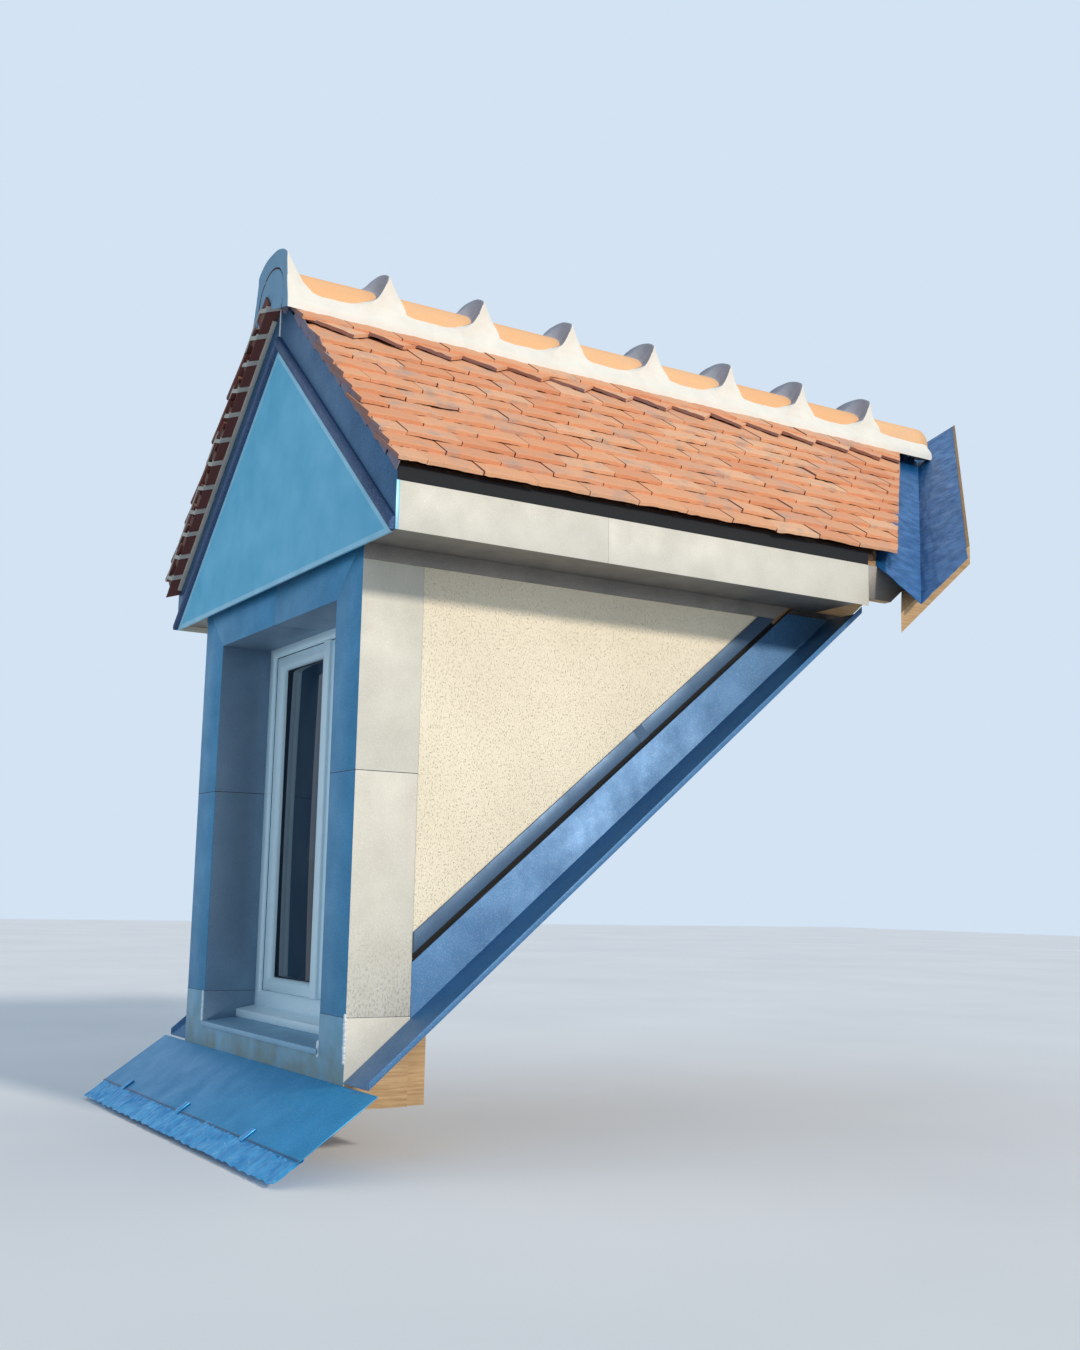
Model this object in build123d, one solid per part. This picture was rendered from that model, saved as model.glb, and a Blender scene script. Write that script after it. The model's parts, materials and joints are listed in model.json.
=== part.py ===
from build123d import *
import os
from math import cos, radians, sin, tan

# A gabled dormer window: zinc front, rendered cheeks, plain tiles and a crested mortar ridge.
# Millimetres. Every piece is drawn with y = 0 on the outer face of the zinc front, going back
# into the roof, and z = 0 on the line where the apron meets that face. save() then moves it so
# that the origin is the centre of the front sole's underside.

# Front wall and window
HALF_WIDTH = 625
JAMB_WIDTH = 166
REVEAL_DEPTH = 166
RETURN_DEPTH = 180
ZINC = 3
BASE_HEIGHT = 165
BASE_DROP = 20
JAMB_JOINT = 792
LINTEL_UNDERSIDE = 1264
LINTEL_FACE = 128
MITRE_INSET = 25
SILL_HEIGHT = 75
SILL_RISE = 15
SILL_NOSE = 6
SILL_LIP = 12
FOOT_DROP = 60

# White window
FRAME_DEPTH = 70
FRAME_FACE = 33
FRAME_HEAD_FACE = 27
FRAME_BOTTOM_FACE = 81
LEAF_SETBACK = 12
LEAF_DEPTH = 72
LEAF_FACE = 42
MEETING_FACE = 50
LEAF_GAP = 2
GLASS_SETBACK = 22
GLASS_THICKNESS = 24
COVER_WIDTH = 46
COVER_PROUD = 10
NOSE_REACH = 61
NOSE_THICKNESS = 25
WINDOW_SILL_BACK = 121

# Cheeks
RENDER_THICKNESS = 18
CORE_THICKNESS = 100
CHEEK_BOARD = 15
PLATE_DEPTH = 90
STRIP_WIDTH = 55
STRIP_PROUD = 6
GROOVE_WIDTH = 23
RENDER_LINE = 229
FLANGE_LINE = 5
FLANGE_WIDTH = 150
FLANGE_WELT = 20
FRIEZE_HEIGHT = 43
FRIEZE_PROUD = 8

# Main roof that the dormer stands on
MAIN_PITCH = 40
SEAT_LINE = -59
TILE_LINE = 70
APRON_PITCH = 35
APRON_LENGTH = 244
APRON_SIDE = 205
SKIRT_LENGTH = 80
SKIRT_THICKNESS = 6
SKIRT_LAP = 20

# Dormer roof
PITCH = 41
EAVES = 247
FASCIA_LIP = 19
FASCIA_ABOVE = 108
FASCIA_TUCK = 14
FASCIA_JOINT = 610
FASCIA_BOARD = 25
DECK = 20
RAFTER_DEPTH = 100
RAFTER_WIDTH = 60
RAFTER_SPACING = 450
RAFTER_END_GAP = 300
RIDGE_BEAM_WIDTH = 50
RIDGE_BEAM_DEPTH = 180
BATTEN_HEIGHT = 22
BATTEN_WIDTH = 35
TILE_THICKNESS = 12
TILE_OVERHANG = 28
TILE_COURSES = 13
VERGE_LEFT = 75
VERGE_RIGHT = 36
BATTEN_INSET = 5

# Gable
BARGE_FRONT = 28
BARGE_DEPTH = 95
GABLE_BOARD = 28
PANEL_FRONT = 32
PANEL_LIP = 22
BEAD_RADIUS = 18.8
BEAD_SEAM = 0.1
BEAD_OVERRUN = 60

# Ridge
RIDGE_RADIUS = 102
RIDGE_SHELL = 14
RIDGE_SEAT = 7
RIDGE_FRONT = 65
RIDGE_PITCH = 340
RIDGE_TO_VALLEY = 51
RIDGE_SHORTEST = 80
RIDGE_JOINT = 6
BED_HALF = 128
BED_EDGE = 8
BED_FEATHER = 16
BED_HOLLOW = 80
FEATHER_BITE = 2
CREST_HALF = 120
CREST_SHOULDER = 35
CREST_RISE = 155
CREST_SQUARE = 0.93
CREST_ROUND = 0.58
CREST_LEAN = 0.5
CREST_LEAD = 30
CREST_BACK = 32
CREST_BACK_HALF = 115
CREST_BACK_RISE = 124
CREST_FALL = 74
CREST_FALL_HALF = 111
CREST_TAIL = 150
CREST_BITE = 4
CREST_END_HALF = 148
END_LEAN = 0.12
END_SET_BACK = 16
END_RECESS = 14
END_COVER = 22
END_RECESS_HALF = 106

# Valleys
VALLEY_BOARD = 45
VALLEY_BOARD_BACK = 215
VALLEY_BOARD_FRONT = 85
VALLEY_BOARD_SIDE = 108
VALLEY_WING_BACK = 200
VALLEY_WING_FRONT = 190
VALLEY_SIDE = 168
VALLEY_SHEET = 4
TILE_TO_FOLD = 98
BATTEN_TO_FOLD = 205
BOARD_GAP = 2

FAR = 3200
MAIN_RISE = tan(radians(MAIN_PITCH))
RISE = tan(radians(PITCH))
OPENING_HALF = HALF_WIDTH - JAMB_WIDTH
FRONT_WALL = REVEAL_DEPTH + FRAME_DEPTH
POST_INNER = OPENING_HALF + ZINC
POST_OUTER = HALF_WIDTH - ZINC
CORE_OUTER = HALF_WIDTH - RENDER_THICKNESS
CORE_INNER = CORE_OUTER - CORE_THICKNESS
SOFFIT_HEIGHT = LINTEL_UNDERSIDE + LINTEL_FACE
MITRE_REACH = HALF_WIDTH - MITRE_INSET
RENDER_TOP = SOFFIT_HEIGHT - FRIEZE_HEIGHT
PANEL_BOTTOM = SOFFIT_HEIGHT - PANEL_LIP
FASCIA_HALF = HALF_WIDTH + EAVES
FASCIA_BOTTOM = SOFFIT_HEIGHT - FASCIA_LIP
FASCIA_TOP = SOFFIT_HEIGHT + FASCIA_ABOVE
FASCIA_END = (FASCIA_BOTTOM - TILE_LINE) / MAIN_RISE + FASCIA_TUCK
APRON_HALF_WIDTH = HALF_WIDTH + APRON_SIDE
ROOF_APEX = FASCIA_TOP + RISE * FASCIA_HALF
WALL_HEAD = ROOF_APEX - RISE * CORE_OUTER - (DECK + RAFTER_DEPTH) / cos(radians(PITCH)) - PLATE_DEPTH
TILE_EDGE = FASCIA_HALF + TILE_OVERHANG
COURSE_LOW = BATTEN_HEIGHT + 2 * TILE_THICKNESS
COURSE_HIGH = BATTEN_HEIGHT + 3 * TILE_THICKNESS
TILE_LENGTH = (TILE_EDGE - COURSE_HIGH * sin(radians(PITCH))) / cos(radians(PITCH))
GAUGE = TILE_LENGTH / TILE_COURSES
BEAD_LINE = BARGE_DEPTH + (BEAD_RADIUS + BEAD_SEAM) / cos(radians(PITCH))
PANEL_LINE = BEAD_LINE + (BEAD_RADIUS + BEAD_SEAM) / cos(radians(PITCH))
GABLE_FRONT = ZINC - GABLE_BOARD
RIDGE_START = -RIDGE_FRONT
RIDGE_CENTRE = ROOF_APEX + RIDGE_SEAT
FASCIA_BACK = FASCIA_HALF - ZINC
SILL_SLOPE = SILL_RISE / REVEAL_DEPTH
STRIP_LINE = RENDER_LINE - STRIP_WIDTH
FLASHING_LINE = STRIP_LINE - GROOVE_WIDTH
VALLEY_BOARD_LINE = SEAT_LINE + VALLEY_BOARD / cos(radians(MAIN_PITCH))
VALLEY_ZINC_LINE = VALLEY_BOARD_LINE + VALLEY_SHEET
VALLEY_HEAD = (ROOF_APEX - VALLEY_BOARD_LINE) / MAIN_RISE
VALLEY_BOARD_END = FASCIA_HALF + VALLEY_BOARD_SIDE
VALLEY_END = FASCIA_HALF + VALLEY_SIDE
RAFTER_COUNT = int((VALLEY_HEAD - RAFTER_END_GAP) / RAFTER_SPACING) + 1
RIDGE_END = VALLEY_HEAD - RIDGE_TO_VALLEY
RIDGE_COUNT = int((RIDGE_END - RIDGE_START - RIDGE_SHORTEST) / RIDGE_PITCH) + 1
os.makedirs("parts", exist_ok=True)


def main_roof(line, y):
    """Height of a line parallel to the main roof, given its height at y = 0."""
    return line + MAIN_RISE * y


def reach(line, z):
    """The y at which such a line comes up to height z."""
    return (z - line) / MAIN_RISE


def slope(x, above=0):
    """Height of the dormer's roof boards at x, or of a plane lying above them, square to it."""
    return ROOF_APEX - RISE * abs(x) + above / cos(radians(PITCH))


def fold(x, before=0):
    """The y of the valley fold at x, or of a line that lies before it."""
    return VALLEY_HEAD - RISE * x / MAIN_RISE - before


def across(points, x_start, x_end):
    """A side outline in y and z, carried across from x_start to x_end."""
    face = make_face(Polyline(*[(x_start, y, z) for y, z in points], close=True))
    return extrude(face, amount=x_end - x_start, dir=(1, 0, 0))


def back(points, y_start, y_end):
    """A front outline in x and z, carried back from y_start to y_end."""
    face = make_face(Polyline(*[(x, y_start, z) for x, z in points], close=True))
    return extrude(face, amount=y_end - y_start, dir=(0, 1, 0))


def up(points, z_start, z_end):
    """A plan outline in x and y, carried up from z_start to z_end."""
    face = make_face(Polyline(*[(x, y, z_start) for x, y in points], close=True))
    return extrude(face, amount=z_end - z_start, dir=(0, 0, 1))


def rectangle(left, low, right, high):
    return [(left, low), (right, low), (right, high), (left, high)]


def mirrored(solid):
    return mirror(solid, about=Plane.YZ)


def above_main_roof(solid, line):
    """The part of a solid that lies above a plane parallel to the main roof."""
    normal = (0, -sin(radians(MAIN_PITCH)), cos(radians(MAIN_PITCH)))
    return split(solid, bisect_by=Plane(origin=(0, 0, line), z_dir=normal), keep=Keep.TOP)


def before_valley(solid, before):
    """The part of a right-hand solid in front of a line that runs beside the valley fold."""
    start = Vector(0, fold(0, before), 0)
    along = Vector(1, fold(1, before) - fold(0, before), 0)
    normal = (along.Y, -along.X, 0)
    return split(solid, bisect_by=Plane(origin=start, z_dir=normal), keep=Keep.TOP)


def save(name, *solids):
    foot = Location((0, -FRONT_WALL / 2 - ZINC / 2, FOOT_DROP))
    pieces = [foot * solid for solid in solids]
    shape = pieces[0] if len(pieces) == 1 else Compound(children=pieces)
    export_step(shape, f"parts/{name}.step")


def save_pair(name, solid):
    """A right-hand piece and its mirror image."""
    save(name + "_right", solid)
    save(name + "_left", mirrored(solid))


# Timber frame
def front_sole():
    back_top = SILL_HEIGHT + SILL_RISE - ZINC
    outline = [(ZINC, -FOOT_DROP), (FRONT_WALL, -FOOT_DROP), (FRONT_WALL, back_top),
               (REVEAL_DEPTH, back_top), (ZINC, back_top - SILL_SLOPE * (REVEAL_DEPTH - ZINC))]
    return across(outline, -POST_INNER, POST_INNER)


def corner_post():
    outline = [(POST_INNER, ZINC), (POST_OUTER, ZINC), (POST_OUTER, RETURN_DEPTH),
               (CORE_OUTER, RETURN_DEPTH), (CORE_OUTER, FRONT_WALL), (POST_INNER, FRONT_WALL)]
    return up(outline, -FOOT_DROP, WALL_HEAD)


def lintel_beam():
    outline = rectangle(ZINC, LINTEL_UNDERSIDE + ZINC, FRONT_WALL, WALL_HEAD)
    return across(outline, -POST_INNER, POST_INNER)


def cheek_wall():
    outline = [(FRONT_WALL, main_roof(SEAT_LINE, FRONT_WALL)), (FRONT_WALL, WALL_HEAD),
               (reach(SEAT_LINE, WALL_HEAD), WALL_HEAD)]
    return across(outline, CORE_INNER, CORE_OUTER)


def cheek_board():
    top = SOFFIT_HEIGHT
    outline = [(RETURN_DEPTH, main_roof(SEAT_LINE, RETURN_DEPTH)),
               (RETURN_DEPTH, main_roof(FLASHING_LINE, RETURN_DEPTH)),
               (reach(FLASHING_LINE, top), top), (reach(SEAT_LINE, top), top)]
    return across(outline, CORE_OUTER, CORE_OUTER + CHEEK_BOARD)


def wall_plate():
    under = -(DECK + RAFTER_DEPTH)
    outline = [(CORE_INNER, WALL_HEAD), (CORE_OUTER, WALL_HEAD),
               (CORE_OUTER, slope(CORE_OUTER, under)), (CORE_INNER, slope(CORE_INNER, under))]
    return above_main_roof(back(outline, ZINC, FAR), SEAT_LINE)


def rafters():
    under = -(DECK + RAFTER_DEPTH)
    inner = RIDGE_BEAM_WIDTH / 2
    tail = FASCIA_BACK - FASCIA_BOARD
    tail_bottom = SOFFIT_HEIGHT + ZINC
    turn = (slope(0, under) - tail_bottom) / RISE
    outline = [(inner, slope(inner, -DECK)), (tail, slope(tail, -DECK)), (tail, tail_bottom),
               (turn, tail_bottom), (inner, slope(inner, under))]
    found = []
    for index in range(RAFTER_COUNT):
        start = ZINC + index * RAFTER_SPACING
        rafter = above_main_roof(back(outline, start, start + RAFTER_WIDTH), VALLEY_BOARD_LINE)
        found.append(rafter)
    return found


def ridge_beam():
    side = RIDGE_BEAM_WIDTH / 2
    foot = slope(side, -DECK) - RIDGE_BEAM_DEPTH
    outline = [(-side, foot), (side, foot), (side, slope(side, -DECK)), (0, slope(0, -DECK)),
               (-side, slope(side, -DECK))]
    return above_main_roof(back(outline, ZINC, FAR), VALLEY_BOARD_LINE)


def roof_boards():
    outline = [(0, slope(0, -DECK)), (FASCIA_BACK, slope(FASCIA_BACK, -DECK)),
               (FASCIA_BACK, slope(FASCIA_BACK)), (0, slope(0))]
    return above_main_roof(back(outline, GABLE_FRONT, FAR), VALLEY_BOARD_LINE)


def gable_board():
    side = FASCIA_BACK
    outline = [(-side, SOFFIT_HEIGHT + ZINC), (side, SOFFIT_HEIGHT + ZINC), (side, slope(side, -DECK)),
               (0, slope(0, -DECK)), (-side, slope(side, -DECK))]
    return back(outline, GABLE_FRONT, ZINC)


def fascia_board():
    inner = FASCIA_BACK - FASCIA_BOARD
    outline = [(inner, SOFFIT_HEIGHT + ZINC), (FASCIA_BACK, SOFFIT_HEIGHT + ZINC),
               (FASCIA_BACK, slope(FASCIA_BACK, -DECK)), (inner, slope(inner, -DECK))]
    return above_main_roof(back(outline, ZINC, FAR), VALLEY_ZINC_LINE)


def valley_board():
    """A board on the main roof's rafters, under the valley fold."""
    start = BOARD_GAP / 2
    end = VALLEY_BOARD_END
    outline = [(start, fold(start, VALLEY_BOARD_FRONT)), (end, fold(end, VALLEY_BOARD_FRONT)),
               (end, fold(end, -VALLEY_BOARD_BACK)), (start, fold(start, -VALLEY_BOARD_BACK))]
    column = up(outline, 0, FAR)
    under = above_main_roof(column, VALLEY_BOARD_LINE)
    return above_main_roof(column, SEAT_LINE) - under


# Window
def window_frame():
    low = SILL_HEIGHT + SILL_RISE - ZINC
    high = LINTEL_UNDERSIDE + ZINC
    outer = rectangle(-POST_INNER, low, POST_INNER, high)
    inner_half = OPENING_HALF - FRAME_FACE
    inner = rectangle(-inner_half, low + FRAME_BOTTOM_FACE, inner_half, high - ZINC - FRAME_HEAD_FACE)
    front = REVEAL_DEPTH
    return back(outer, front, front + FRAME_DEPTH) - back(inner, front, front + FRAME_DEPTH)


def leaf_outline():
    low = SILL_HEIGHT + SILL_RISE - ZINC + FRAME_BOTTOM_FACE
    high = LINTEL_UNDERSIDE - FRAME_HEAD_FACE - LEAF_GAP
    return LEAF_GAP / 2, low, OPENING_HALF - FRAME_FACE - LEAF_GAP, high


def glass_outline():
    left, low, right, high = leaf_outline()
    return left + MEETING_FACE, low + LEAF_FACE, right - LEAF_FACE, high - LEAF_FACE


def window_leaf():
    front = REVEAL_DEPTH + LEAF_SETBACK
    end = front + LEAF_DEPTH
    return back(rectangle(*leaf_outline()), front, end) - back(rectangle(*glass_outline()), front, end)


def window_glass():
    front = REVEAL_DEPTH + LEAF_SETBACK + GLASS_SETBACK
    return back(rectangle(*glass_outline()), front, front + GLASS_THICKNESS)


def window_cover_strip():
    _, low, _, high = leaf_outline()
    front = REVEAL_DEPTH + LEAF_SETBACK
    strip = back(rectangle(-COVER_WIDTH / 2, low, COVER_WIDTH / 2, high), front - COVER_PROUD, front)
    long_edges = strip.edges().filter_by(Axis.Z).group_by(Axis.Y)[0]
    return fillet(long_edges, COVER_PROUD / 2)


def window_sill():
    """The white sill under the frame, with its nose over the zinc."""
    tip = REVEAL_DEPTH - NOSE_REACH
    zinc_tip = SILL_HEIGHT + SILL_SLOPE * tip
    outline = [(tip, zinc_tip), (tip, zinc_tip + NOSE_THICKNESS), (REVEAL_DEPTH, WINDOW_SILL_BACK),
               (REVEAL_DEPTH, SILL_HEIGHT + SILL_RISE)]
    return across(outline, -OPENING_HALF, OPENING_HALF)


# Zinc front
def jamb_cladding(low, high):
    """One folded length: across the front, round the corner and into the reveal."""
    outline = [(OPENING_HALF, 0), (HALF_WIDTH, 0), (HALF_WIDTH, RETURN_DEPTH), (POST_OUTER, RETURN_DEPTH),
               (POST_OUTER, ZINC), (POST_INNER, ZINC), (POST_INNER, REVEAL_DEPTH),
               (OPENING_HALF, REVEAL_DEPTH)]
    return up(outline, low, high)


def mitre_cutter():
    """What the lintel takes from the head of the jamb."""
    outline = [(0, LINTEL_UNDERSIDE), (OPENING_HALF, LINTEL_UNDERSIDE), (MITRE_REACH, SOFFIT_HEIGHT),
               (MITRE_REACH, FAR), (0, FAR)]
    return back(outline, 0, ZINC)


def jamb_upper():
    body = jamb_cladding(JAMB_JOINT, SOFFIT_HEIGHT) - mitre_cutter()
    reveal = rectangle(OPENING_HALF, ZINC, POST_INNER, REVEAL_DEPTH)
    return body - up(reveal, LINTEL_UNDERSIDE, SOFFIT_HEIGHT)


def lintel_cladding():
    face = [(0, LINTEL_UNDERSIDE), (OPENING_HALF, LINTEL_UNDERSIDE), (MITRE_REACH, SOFFIT_HEIGHT),
            (0, SOFFIT_HEIGHT)]
    soffit = rectangle(ZINC, LINTEL_UNDERSIDE, REVEAL_DEPTH, LINTEL_UNDERSIDE + ZINC)
    return back(face, 0, ZINC) + across(soffit, 0, POST_INNER)


def front_base():
    """The soldered foot of the front: plate, corner returns and reveal sides in one."""
    low_reveal = SILL_HEIGHT - ZINC
    face = [(-HALF_WIDTH, -BASE_DROP), (HALF_WIDTH, -BASE_DROP), (HALF_WIDTH, BASE_HEIGHT),
            (OPENING_HALF, BASE_HEIGHT), (OPENING_HALF, low_reveal), (-OPENING_HALF, low_reveal),
            (-OPENING_HALF, BASE_HEIGHT), (-HALF_WIDTH, BASE_HEIGHT)]
    side = [(ZINC, main_roof(FLANGE_LINE, ZINC)), (ZINC, BASE_HEIGHT), (RETURN_DEPTH, BASE_HEIGHT),
            (RETURN_DEPTH, main_roof(FLANGE_LINE, RETURN_DEPTH))]
    reveal = [(ZINC, low_reveal + SILL_SLOPE * ZINC), (ZINC, BASE_HEIGHT), (REVEAL_DEPTH, BASE_HEIGHT),
              (REVEAL_DEPTH, low_reveal + SILL_RISE)]
    right = across(side, POST_OUTER, HALF_WIDTH) + across(reveal, OPENING_HALF, POST_INNER)
    return back(face, 0, ZINC) + right + mirrored(right)


def sill_cladding():
    low = SILL_HEIGHT - ZINC
    drop = low - SILL_LIP
    nose = SILL_HEIGHT - SILL_SLOPE * SILL_NOSE
    outline = [(-SILL_NOSE, nose), (REVEAL_DEPTH, SILL_HEIGHT + SILL_RISE),
               (REVEAL_DEPTH, low + SILL_RISE), (ZINC - SILL_NOSE, low + SILL_SLOPE * (ZINC - SILL_NOSE)),
               (ZINC - SILL_NOSE, drop), (-SILL_NOSE, drop)]
    return across(outline, -OPENING_HALF, OPENING_HALF)


def apron_point(distance, above=0):
    """A point down the apron, or above or below its face, in y and z."""
    angle = radians(APRON_PITCH)
    return (-distance * cos(angle) - above * sin(angle), -distance * sin(angle) + above * cos(angle))


def apron():
    under = -ZINC / cos(radians(APRON_PITCH))
    outline = [(0, 0), apron_point(APRON_LENGTH), apron_point(APRON_LENGTH, -ZINC), (0, under)]
    return across(outline, -APRON_HALF_WIDTH, APRON_HALF_WIDTH)


def apron_skirt():
    start = APRON_LENGTH - SKIRT_LAP
    end = APRON_LENGTH + SKIRT_LENGTH
    outline = [apron_point(start, -ZINC), apron_point(end, -ZINC),
               apron_point(end, -ZINC - SKIRT_THICKNESS), apron_point(start, -ZINC - SKIRT_THICKNESS)]
    return across(outline, -APRON_HALF_WIDTH, APRON_HALF_WIDTH)


# Cheeks
def cheek_render():
    outline = [(RETURN_DEPTH, main_roof(STRIP_LINE, RETURN_DEPTH)), (RETURN_DEPTH, SOFFIT_HEIGHT),
               (reach(STRIP_LINE, SOFFIT_HEIGHT), SOFFIT_HEIGHT)]
    return across(outline, CORE_OUTER, HALF_WIDTH)


def cover_strip():
    outline = [(RETURN_DEPTH, main_roof(STRIP_LINE, RETURN_DEPTH)),
               (RETURN_DEPTH, main_roof(RENDER_LINE, RETURN_DEPTH)),
               (reach(RENDER_LINE, RENDER_TOP), RENDER_TOP), (reach(STRIP_LINE, RENDER_TOP), RENDER_TOP)]
    return across(outline, HALF_WIDTH, HALF_WIDTH + STRIP_PROUD)


def side_flashing():
    """An upstand on the cheek and a flange under the main roof's tiles, with a welted edge."""
    top = FASCIA_BOTTOM
    upstand = [(RETURN_DEPTH, main_roof(FLANGE_LINE, RETURN_DEPTH)),
               (RETURN_DEPTH, main_roof(FLASHING_LINE, RETURN_DEPTH)),
               (reach(FLASHING_LINE, top), top), (reach(FLANGE_LINE, top), top)]
    end = reach(FLANGE_LINE, top)
    upper = FLANGE_LINE + ZINC
    flange = [(0, FLANGE_LINE), (0, upper), (end, main_roof(upper, end)), (end, main_roof(FLANGE_LINE, end))]
    welt_top = FLANGE_LINE + FLANGE_WELT
    welt = [(0, FLANGE_LINE), (0, welt_top), (end, main_roof(welt_top, end)),
            (end, main_roof(FLANGE_LINE, end))]
    edge = HALF_WIDTH + FLANGE_WIDTH
    return (across(upstand, POST_OUTER, HALF_WIDTH) + across(flange, HALF_WIDTH, edge)
            + across(welt, edge - ZINC, edge))


def frieze():
    start = reach(STRIP_LINE, SOFFIT_HEIGHT)
    outline = [(0, RENDER_TOP), (0, SOFFIT_HEIGHT), (start, SOFFIT_HEIGHT),
               (reach(STRIP_LINE, RENDER_TOP), RENDER_TOP)]
    return across(outline, HALF_WIDTH, HALF_WIDTH + FRIEZE_PROUD)


# Eaves and gable
def soffit():
    outline = rectangle(HALF_WIDTH - ZINC, SOFFIT_HEIGHT, FASCIA_BACK, SOFFIT_HEIGHT + ZINC)
    return above_main_roof(back(outline, ZINC, FAR), TILE_LINE)


def front_soffit():
    outline = rectangle(-FASCIA_BACK, SOFFIT_HEIGHT, FASCIA_BACK, SOFFIT_HEIGHT + ZINC)
    return back(outline, GABLE_FRONT, ZINC)


def fascia(start, end):
    outline = rectangle(FASCIA_BACK, FASCIA_BOTTOM, FASCIA_HALF, FASCIA_TOP)
    return back(outline, start, end)


def end_flashing():
    """The plate that closes the fascia board's end against the main roof."""
    low = SOFFIT_HEIGHT + ZINC
    outline = [(FASCIA_END, low), (FASCIA_END, FASCIA_TOP), (reach(VALLEY_ZINC_LINE, FASCIA_TOP), FASCIA_TOP),
               (reach(VALLEY_ZINC_LINE, low), low)]
    return across(outline, FASCIA_BACK, FASCIA_HALF)


def bargeboard(top):
    """Zinc board on the gable, mitred at the apex and cut upright at the eaves."""
    outline = [(0, slope(0) - BARGE_DEPTH), (FASCIA_BACK, slope(FASCIA_BACK) - BARGE_DEPTH),
               (FASCIA_BACK, slope(FASCIA_BACK, top)), (0, slope(0, top))]
    return back(outline, -BARGE_FRONT, GABLE_FRONT)


def gable_panel():
    apex = slope(0) - PANEL_LINE
    half = (apex - PANEL_BOTTOM) / RISE
    outline = [(-half, PANEL_BOTTOM), (half, PANEL_BOTTOM), (0, apex)]
    return back(outline, -PANEL_FRONT, GABLE_FRONT)


def rake_bead():
    """A half-round bead between the panel and the bargeboards, mitred at the apex."""
    centre = Vector(0, GABLE_FRONT, slope(0) - BEAD_LINE)
    along = Vector(cos(radians(PITCH)), 0, -sin(radians(PITCH)))
    section = Plane(origin=centre - along * BEAD_OVERRUN, x_dir=(0, 1, 0), z_dir=along)
    rod = extrude(section * Circle(BEAD_RADIUS), amount=FAR)
    half = rod & back(rectangle(0, FASCIA_BOTTOM, FASCIA_BACK, FAR), -FAR, GABLE_FRONT)
    return half + mirrored(half)


# Roof covering
def on_slope(distance, above):
    """A point down the right-hand slope from the apex, in x and z."""
    x = distance * cos(radians(PITCH)) + above * sin(radians(PITCH))
    return x, ROOF_APEX - distance * sin(radians(PITCH)) + above * cos(radians(PITCH))


def tile_slope(verge):
    """Plain tiles in double lap: every course lifts over the tails of the one below."""
    outline = [(0, slope(0, BATTEN_HEIGHT)), on_slope(TILE_LENGTH, BATTEN_HEIGHT)]
    for course in range(TILE_COURSES, 0, -1):
        outline.append(on_slope(course * GAUGE, COURSE_HIGH))
        if course > 1:
            outline.append(on_slope((course - 1) * GAUGE, COURSE_LOW))
    outline.append((0, slope(0, COURSE_LOW)))
    return back(outline, -verge, FAR)


def battens(verge):
    found = []
    for course in range(1, TILE_COURSES + 1):
        end = course * GAUGE - BATTEN_WIDTH / 2
        outline = [on_slope(end - BATTEN_WIDTH, 0), on_slope(end, 0), on_slope(end, BATTEN_HEIGHT),
                   on_slope(end - BATTEN_WIDTH, BATTEN_HEIGHT)]
        found.append(before_valley(back(outline, -verge, FAR), BATTEN_TO_FOLD))
    return found


def half_disc(radius, start, end):
    """The space inside a half-round of that radius on the ridge line."""
    left = (-radius, start, RIDGE_CENTRE)
    right = (radius, start, RIDGE_CENTRE)
    arc = ThreePointArc(left, (0, start, RIDGE_CENTRE + radius), right)
    return extrude(make_face([arc, Line(right, left)]), amount=end - start, dir=(0, 1, 0))


def ridge_tiles():
    """Half-round tiles end to end; the last is cut where the valleys meet."""
    found = []
    for index in range(RIDGE_COUNT):
        start = RIDGE_START + index * RIDGE_PITCH
        end = RIDGE_END if index == RIDGE_COUNT - 1 else start + RIDGE_PITCH - RIDGE_JOINT
        if index == 0:
            start += END_COVER
        shell = half_disc(RIDGE_RADIUS, start, end) - half_disc(RIDGE_RADIUS - RIDGE_SHELL, start, end)
        found.append(shell)
    return found


def bed_outline():
    """Half of the bedding's outline: from its outer foot up to the ridge tile."""
    edge = slope(BED_HALF, COURSE_HIGH) + BED_EDGE
    feather = (RIDGE_RADIUS ** 2 - BED_FEATHER ** 2) ** 0.5 - FEATHER_BITE
    return [(BED_HALF, edge), (feather, RIDGE_CENTRE + BED_FEATHER)]


def crest_section(y, lean, foot, half, shoulder, rise, square):
    """A section across a crest, its top leaning back: flared flanks under a round or square head."""
    low = slope(foot, COURSE_HIGH) + BED_EDGE
    head = RIDGE_CENTRE + rise
    spring = RIDGE_CENTRE + shoulder
    pull = spring + (head - spring) * square

    def spot(x, z):
        return (x, y + lean * (z - RIDGE_CENTRE - RIDGE_RADIUS), z)

    right = Bezier(spot(half, spring), spot(half, pull), spot(half * square, head), spot(0, head))
    left = Bezier(spot(0, head), spot(-half * square, head), spot(-half, pull), spot(-half, spring))
    return make_face([Line(spot(foot, low), spot(half, spring)), right, left,
                      Line(spot(-half, spring), spot(-foot, low)), Line(spot(-foot, low), spot(foot, low))])


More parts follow.
